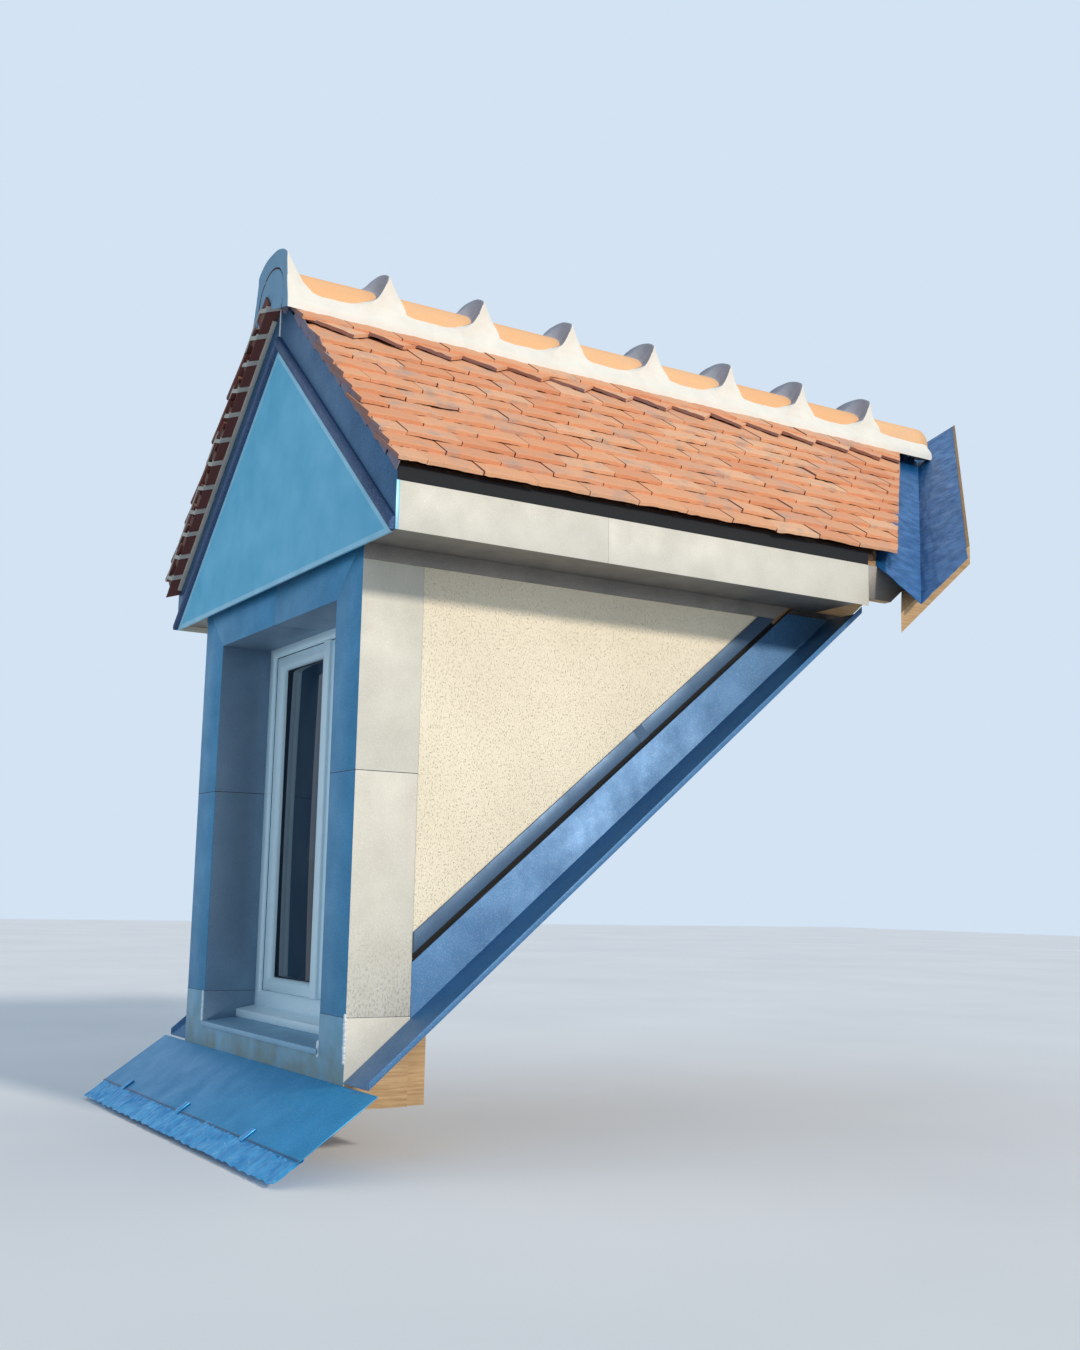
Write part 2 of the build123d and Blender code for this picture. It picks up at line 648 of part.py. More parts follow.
def crest(edge, lean, foot, lead):
    """One crest: a hollow front, a sharp edge that leans back, and a swoop down behind it."""
    inside = RIDGE_RADIUS - CREST_BITE
    side = BED_HALF - CREST_BITE
    sections = [crest_section(edge, lean, foot, CREST_HALF, CREST_SHOULDER, CREST_RISE, CREST_SQUARE),
                crest_section(edge + CREST_BACK, lean / 2, (foot + side) / 2, CREST_BACK_HALF,
                              CREST_SHOULDER / 2, CREST_BACK_RISE, CREST_SQUARE),
                crest_section(edge + CREST_FALL, 0, side, CREST_FALL_HALF, 0, inside, CREST_ROUND),
                crest_section(edge + CREST_TAIL, 0, side, inside, 0, inside, CREST_ROUND)]
    if lead:
        sections.insert(0, crest_section(edge - lead, 0, side, inside, 0, inside, CREST_ROUND))
    return loft(sections, ruled=True)


def ridge_mortar():
    """Bedding down both sides of the ridge tiles, with a crest over every joint."""
    low = slope(BED_HALF, BATTEN_HEIGHT)
    right = [(BED_HALF, low)] + bed_outline()
    left = [(-x, z) for x, z in reversed(right)]
    bed = back(right + left, RIDGE_START, RIDGE_END)
    bed = bed + crest(RIDGE_START + END_SET_BACK, END_LEAN, CREST_END_HALF, 0)
    for index in range(1, RIDGE_COUNT):
        bed = bed + crest(RIDGE_START + index * RIDGE_PITCH, CREST_LEAN, BED_HALF - CREST_BITE, CREST_LEAD)
    cover = RIDGE_START + END_COVER
    hollow = back(rectangle(-BED_HOLLOW, low, BED_HOLLOW, RIDGE_CENTRE), cover, RIDGE_END)
    recess = half_disc(END_RECESS_HALF, -FAR, RIDGE_START + END_RECESS)
    bed = bed - half_disc(RIDGE_RADIUS, cover, RIDGE_END) - hollow - recess
    tiles = tile_slope(VERGE_LEFT)
    under = back([(-CREST_END_HALF, slope(CREST_END_HALF, BATTEN_HEIGHT)),
                  (CREST_END_HALF, slope(CREST_END_HALF, BATTEN_HEIGHT)),
                  (0, slope(0, BATTEN_HEIGHT))], -FAR, RIDGE_END)
    return above_main_roof(bed - tiles - mirrored(tiles) - under, VALLEY_ZINC_LINE)


def valley_flashing():
    """Two wings folded along the valley: one on the roof boards, one on the main roof."""

    def wing(points, height):
        bottom = [(x, y, height(x, y)) for x, y in points]
        top = [(x, y, z + VALLEY_SHEET) for x, y, z in bottom]
        faces = [make_face(Polyline(*bottom, close=True)), make_face(Polyline(*top, close=True))]
        for index in range(len(points)):
            following = (index + 1) % len(points)
            faces.append(make_face(Polyline(bottom[index], bottom[following], top[following], top[index],
                                            close=True)))
        return Solid(Shell(faces))

    main_points = [(0, fold(0)), (VALLEY_END, fold(VALLEY_END)),
                   (VALLEY_END, fold(VALLEY_END, -VALLEY_WING_BACK)), (0, fold(0, -VALLEY_WING_BACK))]
    main_wing = wing(main_points, lambda x, y: main_roof(VALLEY_BOARD_LINE, y))
    deck_end = FASCIA_BACK
    deck_points = [(0, fold(0, VALLEY_WING_FRONT)), (deck_end, fold(deck_end, VALLEY_WING_FRONT)),
                   (VALLEY_END, fold(VALLEY_END)), (0, fold(0))]
    deck_wing = wing(deck_points, lambda x, y: slope(x))
    return main_wing + deck_wing


def save_both(name, *solids):
    """Right-hand pieces and their mirror images, which stand clear of each other, in one file."""
    save(name, *solids, *[mirrored(solid) for solid in solids])


def save_frame():
    save("front_sole", front_sole())
    save_both("corner_posts", corner_post())
    save("lintel_beam", lintel_beam())
    save_pair("cheek_wall", cheek_wall())
    save_both("cheek_boards", cheek_board())
    save_both("wall_plates", wall_plate())
    save_both("rafters", *rafters())
    save("ridge_beam", ridge_beam())
    save_pair("roof_boards", roof_boards())
    save("gable_board", gable_board())
    save_both("fascia_boards", fascia_board())
    save_both("valley_boards", valley_board())


def save_window():
    save("window_frame", window_frame())
    save_both("window_leaves", window_leaf())
    save_both("window_glass", window_glass())
    save("window_cover_strip", window_cover_strip())
    save("window_sill", window_sill())


def save_front():
    save("front_base", front_base())
    save_both("jamb_cladding_lower", jamb_cladding(BASE_HEIGHT, JAMB_JOINT))
    save_both("jamb_cladding_upper", jamb_upper())
    save_pair("lintel_cladding", lintel_cladding())
    save("sill_cladding", sill_cladding())
    save("apron", apron())
    save("apron_skirt", apron_skirt())


def save_cheeks():
    save_pair("cheek_render", cheek_render())
    save_both("cover_strips", cover_strip())
    save_pair("side_flashing", side_flashing())
    save_both("friezes", frieze())


def save_eaves():
    save_both("side_soffits", soffit())
    save("front_soffit", front_soffit())
    save_both("fascias_front", fascia(-BARGE_FRONT, FASCIA_JOINT))
    save_both("fascias_rear", fascia(FASCIA_JOINT, FASCIA_END))
    save_both("end_flashings", end_flashing())
    save("bargeboard_right", bargeboard(BATTEN_HEIGHT))
    save("bargeboard_left", mirrored(bargeboard(0)))
    save("gable_panel", gable_panel())
    save("rake_bead", rake_bead())


def save_covering():
    save("roof_tiles_right", before_valley(tile_slope(VERGE_RIGHT), TILE_TO_FOLD))
    save("roof_tiles_left", mirrored(before_valley(tile_slope(VERGE_LEFT), TILE_TO_FOLD)))
    left_battens = battens(VERGE_LEFT - BATTEN_INSET)
    save("battens", *battens(-GABLE_FRONT), *[mirrored(batten) for batten in left_battens])
    save("ridge_tiles", *ridge_tiles())
    save("ridge_mortar", ridge_mortar())
    save_pair("valley_flashing", valley_flashing())


save_frame()
save_window()
save_front()
save_cheeks()
save_eaves()
save_covering()
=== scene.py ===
import bmesh
import bpy
import json
import math
import random
from bpy.props import FloatProperty, FloatVectorProperty, IntProperty, PointerProperty
from mathutils import Euler, Matrix, Vector

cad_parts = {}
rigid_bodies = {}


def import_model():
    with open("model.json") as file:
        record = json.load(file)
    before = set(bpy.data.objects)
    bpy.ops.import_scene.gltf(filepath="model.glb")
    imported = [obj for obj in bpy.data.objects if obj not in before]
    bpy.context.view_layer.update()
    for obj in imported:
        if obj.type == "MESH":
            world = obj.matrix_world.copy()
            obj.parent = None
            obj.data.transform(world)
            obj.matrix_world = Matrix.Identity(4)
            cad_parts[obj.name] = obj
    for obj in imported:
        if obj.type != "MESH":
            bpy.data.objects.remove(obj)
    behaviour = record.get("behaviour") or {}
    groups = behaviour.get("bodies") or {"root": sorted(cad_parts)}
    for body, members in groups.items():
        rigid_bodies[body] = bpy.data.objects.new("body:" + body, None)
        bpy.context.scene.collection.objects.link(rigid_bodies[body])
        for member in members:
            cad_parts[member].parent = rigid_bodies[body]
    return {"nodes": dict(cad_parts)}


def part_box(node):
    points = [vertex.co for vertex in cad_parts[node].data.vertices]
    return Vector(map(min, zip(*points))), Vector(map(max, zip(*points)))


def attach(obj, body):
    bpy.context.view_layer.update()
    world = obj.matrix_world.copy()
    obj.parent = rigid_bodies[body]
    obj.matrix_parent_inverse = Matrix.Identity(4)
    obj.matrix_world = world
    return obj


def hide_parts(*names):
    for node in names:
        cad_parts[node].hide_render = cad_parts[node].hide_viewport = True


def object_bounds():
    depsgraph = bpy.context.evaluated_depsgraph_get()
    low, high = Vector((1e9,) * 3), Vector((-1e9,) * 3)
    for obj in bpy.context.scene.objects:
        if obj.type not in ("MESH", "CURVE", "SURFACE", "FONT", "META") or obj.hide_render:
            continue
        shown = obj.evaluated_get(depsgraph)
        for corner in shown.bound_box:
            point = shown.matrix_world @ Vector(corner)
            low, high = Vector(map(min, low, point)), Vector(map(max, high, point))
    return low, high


bl_info = {
    "name": "Zinc-clad dormer window",
    "version": (1, 0, 0),
    "blender": (4, 5, 0),
    "location": "View3D > Sidebar > Dormer",
    "description": "Finishes a gabled dormer: zinc front, rendered cheeks, clay tiles and a crested ridge",
    "category": "Object",
}

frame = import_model()
CAD_BOX = [list(corner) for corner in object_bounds()]
BODY = "root"
MM = 0.001

# The roof's slopes, and lines that are read from the CAD nodes
ROOF_PITCH = math.radians(41)
MAIN_PITCH = math.radians(40)
DOWN = Vector((math.cos(ROOF_PITCH), 0, -math.sin(ROOF_PITCH)))
BOARDS_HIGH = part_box("roof_boards_right")[1]
APEX = BOARDS_HIGH.z
TILES_LOW, TILES_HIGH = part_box("roof_tiles_right")
TILES_LEFT_LOW, TILES_LEFT_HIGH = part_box("roof_tiles_left")
RIDGE_LOW, RIDGE_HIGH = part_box("ridge_tiles")
RIDGE_START = -184.5 * MM
COURSE_TOP = 58 * MM
COURSE_COUNT = 13
TOOTH_COURSE = 3
TOOTH_TURN = math.radians(43)
TOOTH_START = 57 * MM
TOOTH_LIFT = 4 * MM
TOOTH_LENGTH = 0.75
TILE_SLOPE = (TILES_HIGH.x - COURSE_TOP * math.sin(ROOF_PITCH)) / math.cos(ROOF_PITCH)

# Sheets: the apron, its skirt and clips, the cover strips and the valleys' wings
APRON_PITCH = math.radians(35)
APRON_LENGTH = 244 * MM
SKIRT_REACH = 96 * MM
SKIRT_LAP = 22 * MM
CLIP_PLACES = (-599 * MM, -52 * MM, 465 * MM)
STRIP_WIDTH = 55 * MM
STRIP_JOINT = 774.5 * MM
VALLEY_BACK = 200 * MM
VALLEY_FRONT = 190 * MM

# Ridge: its shortest tile, and the mortar's bed and crests as reaches from the tiles' axis
RIDGE_SHORTEST = 80 * MM
BED_TOP = Vector((98.5 * MM, 15 * MM))
BED_FOOT = Vector((126 * MM, -28 * MM))
CREST_HALF = 119 * MM
CREST_RISE = 155 * MM
END_RISE = 158 * MM
FLARE_TOP = 97 * MM
RIM = 5 * MM


# Small helpers
def linear(code):
    """An sRGB hex colour as the linear values that Blender works in."""
    parts = [int(code[place:place + 2], 16) / 255 for place in (1, 3, 5)]
    return [part / 12.92 if part <= 0.04045 else ((part + 0.055) / 1.055) ** 2.4 for part in parts] + [1]


def deselect():
    for piece in bpy.data.objects:
        piece.select_set(False)


def work_on(piece):
    deselect()
    piece.select_set(True)
    bpy.context.view_layer.objects.active = piece
    return piece


def edit(piece):
    work_on(piece)
    bpy.ops.object.mode_set(mode="EDIT")


def leave_edit():
    bpy.ops.object.mode_set(mode="OBJECT")


def choose(kind, test):
    """Selects the edited mesh's faces, edges or points for which the test holds, and nothing else."""
    mesh = bpy.context.edit_object.data
    shape = bmesh.from_edit_mesh(mesh)
    bpy.ops.mesh.select_mode(type=kind)
    for part in {"FACE": shape.faces, "EDGE": shape.edges, "VERT": shape.verts}[kind]:
        part.select_set(bool(test(part)))
    shape.select_flush_mode()
    bmesh.update_edit_mesh(mesh)


def choose_faces(test):
    """Selects the faces for which test(centre, normal) holds."""
    choose("FACE", lambda face: test(face.calc_center_median(), face.normal))


def choose_edges(test):
    """Selects the edges for which test(first end, second end) holds."""
    choose("EDGE", lambda side: test(side.verts[0].co, side.verts[1].co))


def choose_points(test):
    """Selects the points for which test(place) holds."""
    choose("VERT", lambda point: test(point.co))


def cut(place, normal, clear=False, fill=False):
    """Cuts the whole edited mesh through a plane, and can take off and close what the normal points to."""
    bpy.ops.mesh.select_all(action="SELECT")
    bpy.ops.mesh.bisect(plane_co=place, plane_no=normal, clear_outer=clear, use_fill=fill)


def subdivide(cuts):
    bpy.ops.mesh.select_all(action="SELECT")
    bpy.ops.mesh.subdivide(number_cuts=cuts)


def face_outward(piece):
    edit(piece)
    bpy.ops.mesh.select_all(action="SELECT")
    bpy.ops.mesh.normals_make_consistent(inside=False)
    leave_edit()


def place_mesh(piece):
    """Puts the object's place, turn and size into its mesh."""
    work_on(piece)
    bpy.ops.object.transform_apply(location=True, rotation=True, scale=True)
    return piece


def block(name, low, high):
    """A box between two corners, to be shaped further."""
    deselect()
    low = Vector(low)
    high = Vector(high)
    bpy.ops.mesh.primitive_cube_add(size=1, location=(low + high) / 2)
    piece = bpy.context.active_object
    piece.name = name
    piece.scale = high - low
    return place_mesh(piece)


def side_block(name, sign, near, far, low, high):
    """A box on the right (1) or left (-1) between two distances from the middle, and two y and z."""
    left, right = sorted((sign * near, sign * far))
    return block(name, (left, *low), (right, *high))


def moved(piece, matrix, offset=(0, 0, 0)):
    """Moves the piece's mesh by an offset and then by a matrix."""
    piece.data.transform(matrix @ Matrix.Translation(offset))
    return piece


def modify(piece, kind, **settings):
    """Adds a modifier, sets it and applies it."""
    work_on(piece)
    extra = piece.modifiers.new(kind.title(), kind)
    for name, value in settings.items():
        setattr(extra, name, value)
    bpy.ops.object.modifier_apply(modifier=extra.name)
    return piece


def soften(piece, width, segments=2, angle=30):
    """Rounds the piece's edges and smooths what is nearly flat."""
    if width:
        modify(piece, "BEVEL", width=width, segments=segments, limit_method="ANGLE",
               angle_limit=math.radians(angle))
    work_on(piece)
    bpy.ops.object.shade_smooth_by_angle(angle=math.radians(40))
    return piece


def crinkle(piece, size, depth, name, direction="NORMAL"):
    """Pushes the surface in and out by a cloud pattern of that size."""
    clouds = bpy.data.textures.new(name, "CLOUDS")
    clouds.noise_scale = size
    clouds.noise_depth = 2
    return modify(piece, "DISPLACE", texture=clouds, texture_coords="LOCAL", strength=depth,
                  mid_level=0.5, direction=direction)


def worked_copy(name, *nodes):
    """Merged copies of CAD nodes, joined in one mesh that can be rounded and finished."""
    copies = []
    for node in nodes:
        source = frame["nodes"][node]
        piece = bpy.data.objects.new(name, source.data.copy())
        bpy.context.scene.collection.objects.link(piece)
        piece.data.materials.clear()
        copies.append(piece)
    deselect()
    for piece in copies:
        piece.select_set(True)
    bpy.context.view_layer.objects.active = copies[0]
    if len(copies) > 1:
        bpy.ops.object.join()
    piece = bpy.context.view_layer.objects.active
    edit(piece)
    bpy.ops.mesh.select_all(action="SELECT")
    bpy.ops.mesh.remove_doubles(threshold=0.04 * MM)
    bpy.ops.mesh.dissolve_limited(angle_limit=math.radians(0.6))
    leave_edit()
    bpy.ops.mesh.customdata_custom_splitnormals_clear()
    for attribute in list(piece.data.uv_layers):
        piece.data.uv_layers.remove(attribute)
    return piece


def join(name, pieces):
    deselect()
    for piece in pieces:
        piece.select_set(True)
    bpy.context.view_layer.objects.active = pieces[0]
    if len(pieces) > 1:
        bpy.ops.object.join()
    pieces[0].name = name
    return pieces[0]


def copy_of(piece, matrix):
    """A copy with its own mesh, moved by a matrix."""
    twin = piece.copy()
    twin.data = piece.data.copy()
    bpy.context.scene.collection.objects.link(twin)
    twin.data.transform(matrix)
    return twin


def paint(piece, *finishes):
    piece.data.materials.clear()
    for finish in finishes:
        piece.data.materials.append(finish_of(finish))
    return piece


def paint_faces(piece, place, test):
    """Gives the faces for which test(centre, normal) holds the piece's material at that place."""
    for face in piece.data.polygons:
        if test(face.center, face.normal):
            face.material_index = place


def fit(piece, slot, *nodes):
    """Hands a finished piece to the frame, in place of the CAD nodes that it stands for."""
    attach(piece, BODY)
    if nodes:
        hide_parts(*nodes)
    return piece


def dress(piece, finish, slot, *nodes):
    """Paints a piece in one finish and hands it to the frame."""
    return fit(paint(piece, finish), slot, *nodes)


def keep_node(node, finish):
    """A CAD node whose shape is right, with its real finish."""
    materials = frame["nodes"][node].data.materials
    if not materials:
        materials.append(finish_of(finish))
    for index in range(len(materials)):
        materials[index] = finish_of(finish)


def give_tone(tile, tone):
    """Where a tile's clay lies between the lightest and the darkest, for its material."""
    shade = tile.data.attributes.new("tile_shade", "FLOAT", "POINT")
    shade.data.foreach_set("value", [tone] * len(tile.data.vertices))


# Materials
def put(tree, socket, value):
    """Links a socket to another, or sets its value; a colour may be given as its code."""
    if isinstance(value, str):
        value = linear(value)
    if isinstance(value, bpy.types.NodeSocket):
        tree.links.new(value, socket)
    else:
        socket.default_value = value


def add(tree, kind, links=None, **settings):
    """Adds a node with its settings, socket values and links."""
    node = tree.nodes.new(kind)
    for name, value in settings.items():
        setattr(node, name, value)
    for socket, value in (links or {}).items():
        put(tree, node.inputs[socket], value)
    return node


def surface(tree, shader, colour, roughness, **others):
    """Sets the shader's colour and roughness, and any other socket by its name."""
    for name, value in {"Base Color": colour, "Roughness": roughness, **others}.items():
        put(tree, shader.inputs[name], value)


def blank(name):
    material = bpy.data.materials.new(name)
    material.use_nodes = True
    tree = material.node_tree
    tree.nodes.clear()
    shader = add(tree, "ShaderNodeBsdfPrincipled")
    output = add(tree, "ShaderNodeOutputMaterial", {"Surface": shader.outputs["BSDF"]})
    output.is_active_output = True
    place = add(tree, "ShaderNodeTexCoord").outputs["Object"]
    return material, tree, shader, place


def grain(tree, place, size, detail=4, roughness=0.55, stretch=None):
    """Noise whose blots are about that many metres across, longer along one axis if stretched."""
    if stretch:
        place = add(tree, "ShaderNodeMapping", {"Vector": place, "Scale": stretch}).outputs["Vector"]
    return add(tree, "ShaderNodeTexNoise", {"Vector": place, "Scale": 1 / size, "Detail": detail,
                                            "Roughness": roughness}).outputs["Fac"]


def band(tree, value, low, high, bottom=0.0, top=1.0):
    """A value brought from low..high to bottom..top, and held there outside."""
    return add(tree, "ShaderNodeMapRange", {"Value": value, "From Min": low, "From Max": high,
                                            "To Min": bottom, "To Max": top}).outputs["Result"]


def blend(tree, amount, first, second):
    """Two colours mixed by an amount from 0 to 1."""
    node = add(tree, "ShaderNodeMix", {0: amount, 6: first, 7: second}, data_type="RGBA")
    return node.outputs[2]


def times(tree, first, second, operation="MULTIPLY"):
    return add(tree, "ShaderNodeMath", {0: first, 1: second}, operation=operation).outputs[0]


def relief(tree, shader, *layers):
    """Bump from one or more (height, distance in metres, strength) layers."""
    normal = None
    for height, distance, strength in layers:
        links = {"Height": height, "Distance": distance, "Strength": strength}
        if normal:
            links["Normal"] = normal
        normal = add(tree, "ShaderNodeBump", links).outputs["Normal"]
    tree.links.new(normal, shader.inputs["Normal"])


def height_of(tree, place):
    return add(tree, "ShaderNodeSeparateXYZ", {"Vector": place}).outputs["Z"]


def rolled_zinc(name, colour, dark, metallic=0.45, roughness=0.46, speckle=0.12, drips=0.0, wave=0.15):
    """Pre-weathered zinc sheet, rolled and folded: a soft satin grey with a fine crystal speckle,
    slow cloudy patches from its patina and a faint waviness between the folds."""
    material, tree, shader, place = blank(name)
    clouds = grain(tree, place, 0.11, 5)
    spangle = grain(tree, place, 0.0035, 2, 0.7)
    runs = grain(tree, place, 0.03, 4, 0.6, stretch=(1, 1, 0.12))
    colour_now = blend(tree, band(tree, clouds, 0.3, 0.75), colour, dark)
    pale = blend(tree, speckle, colour_now, (1, 1, 1, 1))
    colour_now = blend(tree, band(tree, spangle, 0.5, 0.75), colour_now, pale)
    streak = times(tree, band(tree, runs, 0.55, 0.8), 0.22)
    colour_now = blend(tree, streak, colour_now, dark)
    if drips:
        low = band(tree, height_of(tree, place), 0.2, 0.52, 1.0, 0.0)
        drip = grain(tree, place, 0.0045, 4, 0.7, stretch=(1, 1, 0.45))
        amount = times(tree, times(tree, band(tree, drip, 0.5, 0.62), low), drips)
        colour_now = blend(tree, amount, colour_now, "#33383B")
    dull = band(tree, clouds, 0.3, 0.75, roughness - 0.06, roughness + 0.1)
    surface(tree, shader, colour_now, dull, Metallic=metallic)
    relief(tree, shader, (grain(tree, place, 0.35, 1), 0.002, wave), (spangle, 0.0002, 0.2))
    return material


def hammered_zinc(name, colour, dark, light):
    """Soft zinc dressed by hand with a mallet: shallow dents a few centimetres wide, pale flecks of
    painted highlight scattered over it, and dull where the sheet was creased."""
    material, tree, shader, place = blank(name)
    clouds = grain(tree, place, 0.05, 6, 0.65)
    dents = add(tree, "ShaderNodeTexVoronoi", {"Vector": place, "Scale": 1 / 0.028}).outputs["Distance"]
    colour_now = blend(tree, band(tree, clouds, 0.35, 0.65), colour, dark)
    # Pale flecks of painted highlight.
    painted_glints = grain(tree, place, 0.012, 6, 0.8)
    colour_now = blend(tree, band(tree, painted_glints, 0.6, 0.72), colour_now, light)
    surface(tree, shader, colour_now, band(tree, clouds, 0.3, 0.7, 0.3, 0.55), Metallic=0.5)
    relief(tree, shader, (dents, 0.003, 0.35), (clouds, 0.002, 0.35))
    return material


def fired_clay(name, colours, smudge, soot, depth=0.0012):
    """Plain clay tiles, pressed and fired: each tile a shade of its own, sandy to the touch, with
    grey-blue bloom from the kiln in some of their middles and sooty specks along the tails."""
    material, tree, shader, place = blank(name)
    shade = add(tree, "ShaderNodeAttribute", attribute_name="tile_shade").outputs["Fac"]
    ramp = add(tree, "ShaderNodeValToRGB", {"Fac": shade})
    while len(ramp.color_ramp.elements) < len(colours):
        ramp.color_ramp.elements.new(0.5)
    for index, code in enumerate(colours):
        ramp.color_ramp.elements[index].position = index / (len(colours) - 1)
        ramp.color_ramp.elements[index].color = linear(code)
    patches = grain(tree, place, 0.06, 4, 0.6)
    bloom = times(tree, band(tree, patches, 0.5, 0.66), band(tree, shade, 0.1, 0.8, 0.05, 0.65))
    colour_now = blend(tree, bloom, ramp.outputs["Color"], smudge)
    sand = grain(tree, place, 0.004, 5, 0.75)
    colour_now = blend(tree, band(tree, sand, 0.35, 0.7, 0.0, 0.28), colour_now, soot)
    specks = grain(tree, place, 0.014, 6, 0.8)
    colour_now = blend(tree, band(tree, specks, 0.66, 0.74, 0.0, 0.5), colour_now, soot)
    surface(tree, shader, colour_now, band(tree, patches, 0.3, 0.7, 0.68, 0.9), IOR=1.5)
    relief(tree, shader, (sand, depth, 0.6), (patches, 0.002, 0.15))
    return material


def trowelled_mortar(name, colour, grey):
    """Lime mortar thrown on and shaped wet with a small trowel: matt, off-white, gritty, with soft
    drag marks and slightly grey hollows where it dried last."""
    material, tree, shader, place = blank(name)
    patches = grain(tree, place, 0.07, 5, 0.6)
    grit = grain(tree, place, 0.0025, 3, 0.8)
    drags = grain(tree, place, 0.02, 5, 0.6, stretch=(1, 0.35, 1))
    colour_now = blend(tree, band(tree, patches, 0.4, 0.75, 0.0, 0.55), colour, grey)
    colour_now = blend(tree, band(tree, grit, 0.55, 0.8, 0.0, 0.3), colour_now, "#B9AE98")
    surface(tree, shader, colour_now, 0.93)
    relief(tree, shader, (drags, 0.004, 0.5), (grit, 0.0007, 0.5))
    return material


def scraped_render(name, colour, dark):
    """Two-coat render scraped with a nail board: grains of sand torn out leave small pits a few
    millimetres across, in a cream that changes little from patch to patch."""
    material, tree, shader, place = blank(name)
    patches = grain(tree, place, 0.3, 3)
    rough = grain(tree, place, 0.0055, 4, 0.75)
    pulled = grain(tree, place, 0.0034, 3, 0.7, stretch=(1, 1, 0.6))
    pit = band(tree, pulled, 0.3, 0.42, 1.0, 0.0)
    colour_now = blend(tree, band(tree, patches, 0.35, 0.7, 0.0, 0.5), colour, dark)
    colour_now = blend(tree, band(tree, rough, 0.35, 0.7, 0.3, 0.0), colour_now, dark)
    colour_now = blend(tree, times(tree, pit, 0.2), colour_now, "#A8987A")
    surface(tree, shader, colour_now, 0.95)
    pitted = times(tree, times(tree, rough, 0.5), pit, "SUBTRACT")
    relief(tree, shader, (pitted, 0.0024, 0.8))
    return material


def moulded_pvc(name, colour):
    """Extruded white PVC, welded at the corners: smooth, satin, tinted blue as painted sky shade, and very
    faintly clouded with dust.
    """
    material, tree, shader, place = blank(name)
    dust = grain(tree, place, 0.05, 4)
    colour_now = blend(tree, band(tree, dust, 0.5, 0.8, 0.0, 0.25), colour, "#B8D6E6")
    surface(tree, shader, colour_now, 0.32, IOR=1.53)
    relief(tree, shader, (dust, 0.0004, 0.2))
    return material


def window_pane(name, colour):
    """Float glass in a sealed unit, dark from the unlit room behind it, with a clear reflection."""
    material, tree, shader, place = blank(name)
    film = grain(tree, place, 0.2, 3)
    colour_now = blend(tree, band(tree, film, 0.35, 0.7, 0.0, 0.4), colour, "#30414E")
    surface(tree, shader, colour_now, 0.03, IOR=1.52)
    shader.inputs["Transmission Weight"].default_value = 0.05
    relief(tree, shader, (grain(tree, place, 0.4, 1), 0.002, 0.1))
    return material


def sealing_rubber(name, colour="#23262A", worn="#3B3F44"):
    """Extruded EPDM seal, also used for black strips painted as shadow: matt and nearly black, a little
    greyer where it is rubbed.
    """
    material, tree, shader, place = blank(name)
    rubbed = grain(tree, place, 0.01, 3)
    surface(tree, shader, blend(tree, rubbed, colour, worn), 0.8, IOR=1.5)
    return material


def sawn_softwood(name, colour, dark):
    """Sawn spruce: rings a few millimetres apart run with the board, and the saw leaves it furry."""
    material, tree, shader, place = blank(name)
    fibres = grain(tree, place, 0.006, 4, 0.6, stretch=(1, 0.05, 1))
    clouds = grain(tree, place, 0.12, 3)
    colour_now = blend(tree, band(tree, fibres, 0.35, 0.68), colour, dark)
    colour_now = blend(tree, band(tree, clouds, 0.4, 0.7, 0.0, 0.35), colour_now, "#8C7456")
    surface(tree, shader, colour_now, 0.85)
    relief(tree, shader, (fibres, 0.0008, 0.5))
    return material


def soft_solder(name):
    """Tin solder run along a seam with an iron: a bright, lumpy bead."""
    material, tree, shader, place = blank(name)
    lumps = grain(tree, place, 0.008, 3)
    surface(tree, shader, blend(tree, lumps, "#FFFFFF", "#C9D6DE"), 0.4, Metallic=0.1)
    relief(tree, shader, (lumps, 0.001, 0.4))
    return material


def stained_base(name, colour, dark):
    """Zinc at the foot of the front, where flux from the soldering has stained it brown-green."""
    material, tree, shader, place = blank(name)
    clouds = grain(tree, place, 0.11, 5)
    stain = grain(tree, place, 0.09, 4, 0.6)
    low = band(tree, height_of(tree, place), 0.05, 0.2, 1.0, 0.15)
    colour_now = blend(tree, band(tree, clouds, 0.35, 0.7), colour, dark)
    amount = times(tree, band(tree, stain, 0.36, 0.68, 0.0, 0.75), low)
    colour_now = blend(tree, amount, colour_now, "#8A8660")
    surface(tree, shader, colour_now, band(tree, stain, 0.4, 0.7, 0.4, 0.62), Metallic=0.3)
    relief(tree, shader, (grain(tree, place, 0.16, 2), 0.004, 0.35), (clouds, 0.001, 0.3))
    return material


def plain_floor(name, colour):
    """Painted studio board, matt, that stays pale to the camera and still takes the shadow."""
    material, tree, shader, place = blank(name)
    tone = grain(tree, place, 1.5, 2)
    surface(tree, shader, blend(tree, tone, colour, "#E9EBEC"), 0.9)
    shader.inputs["Specular IOR Level"].default_value = 0.2
    return material


FINISHES = {}


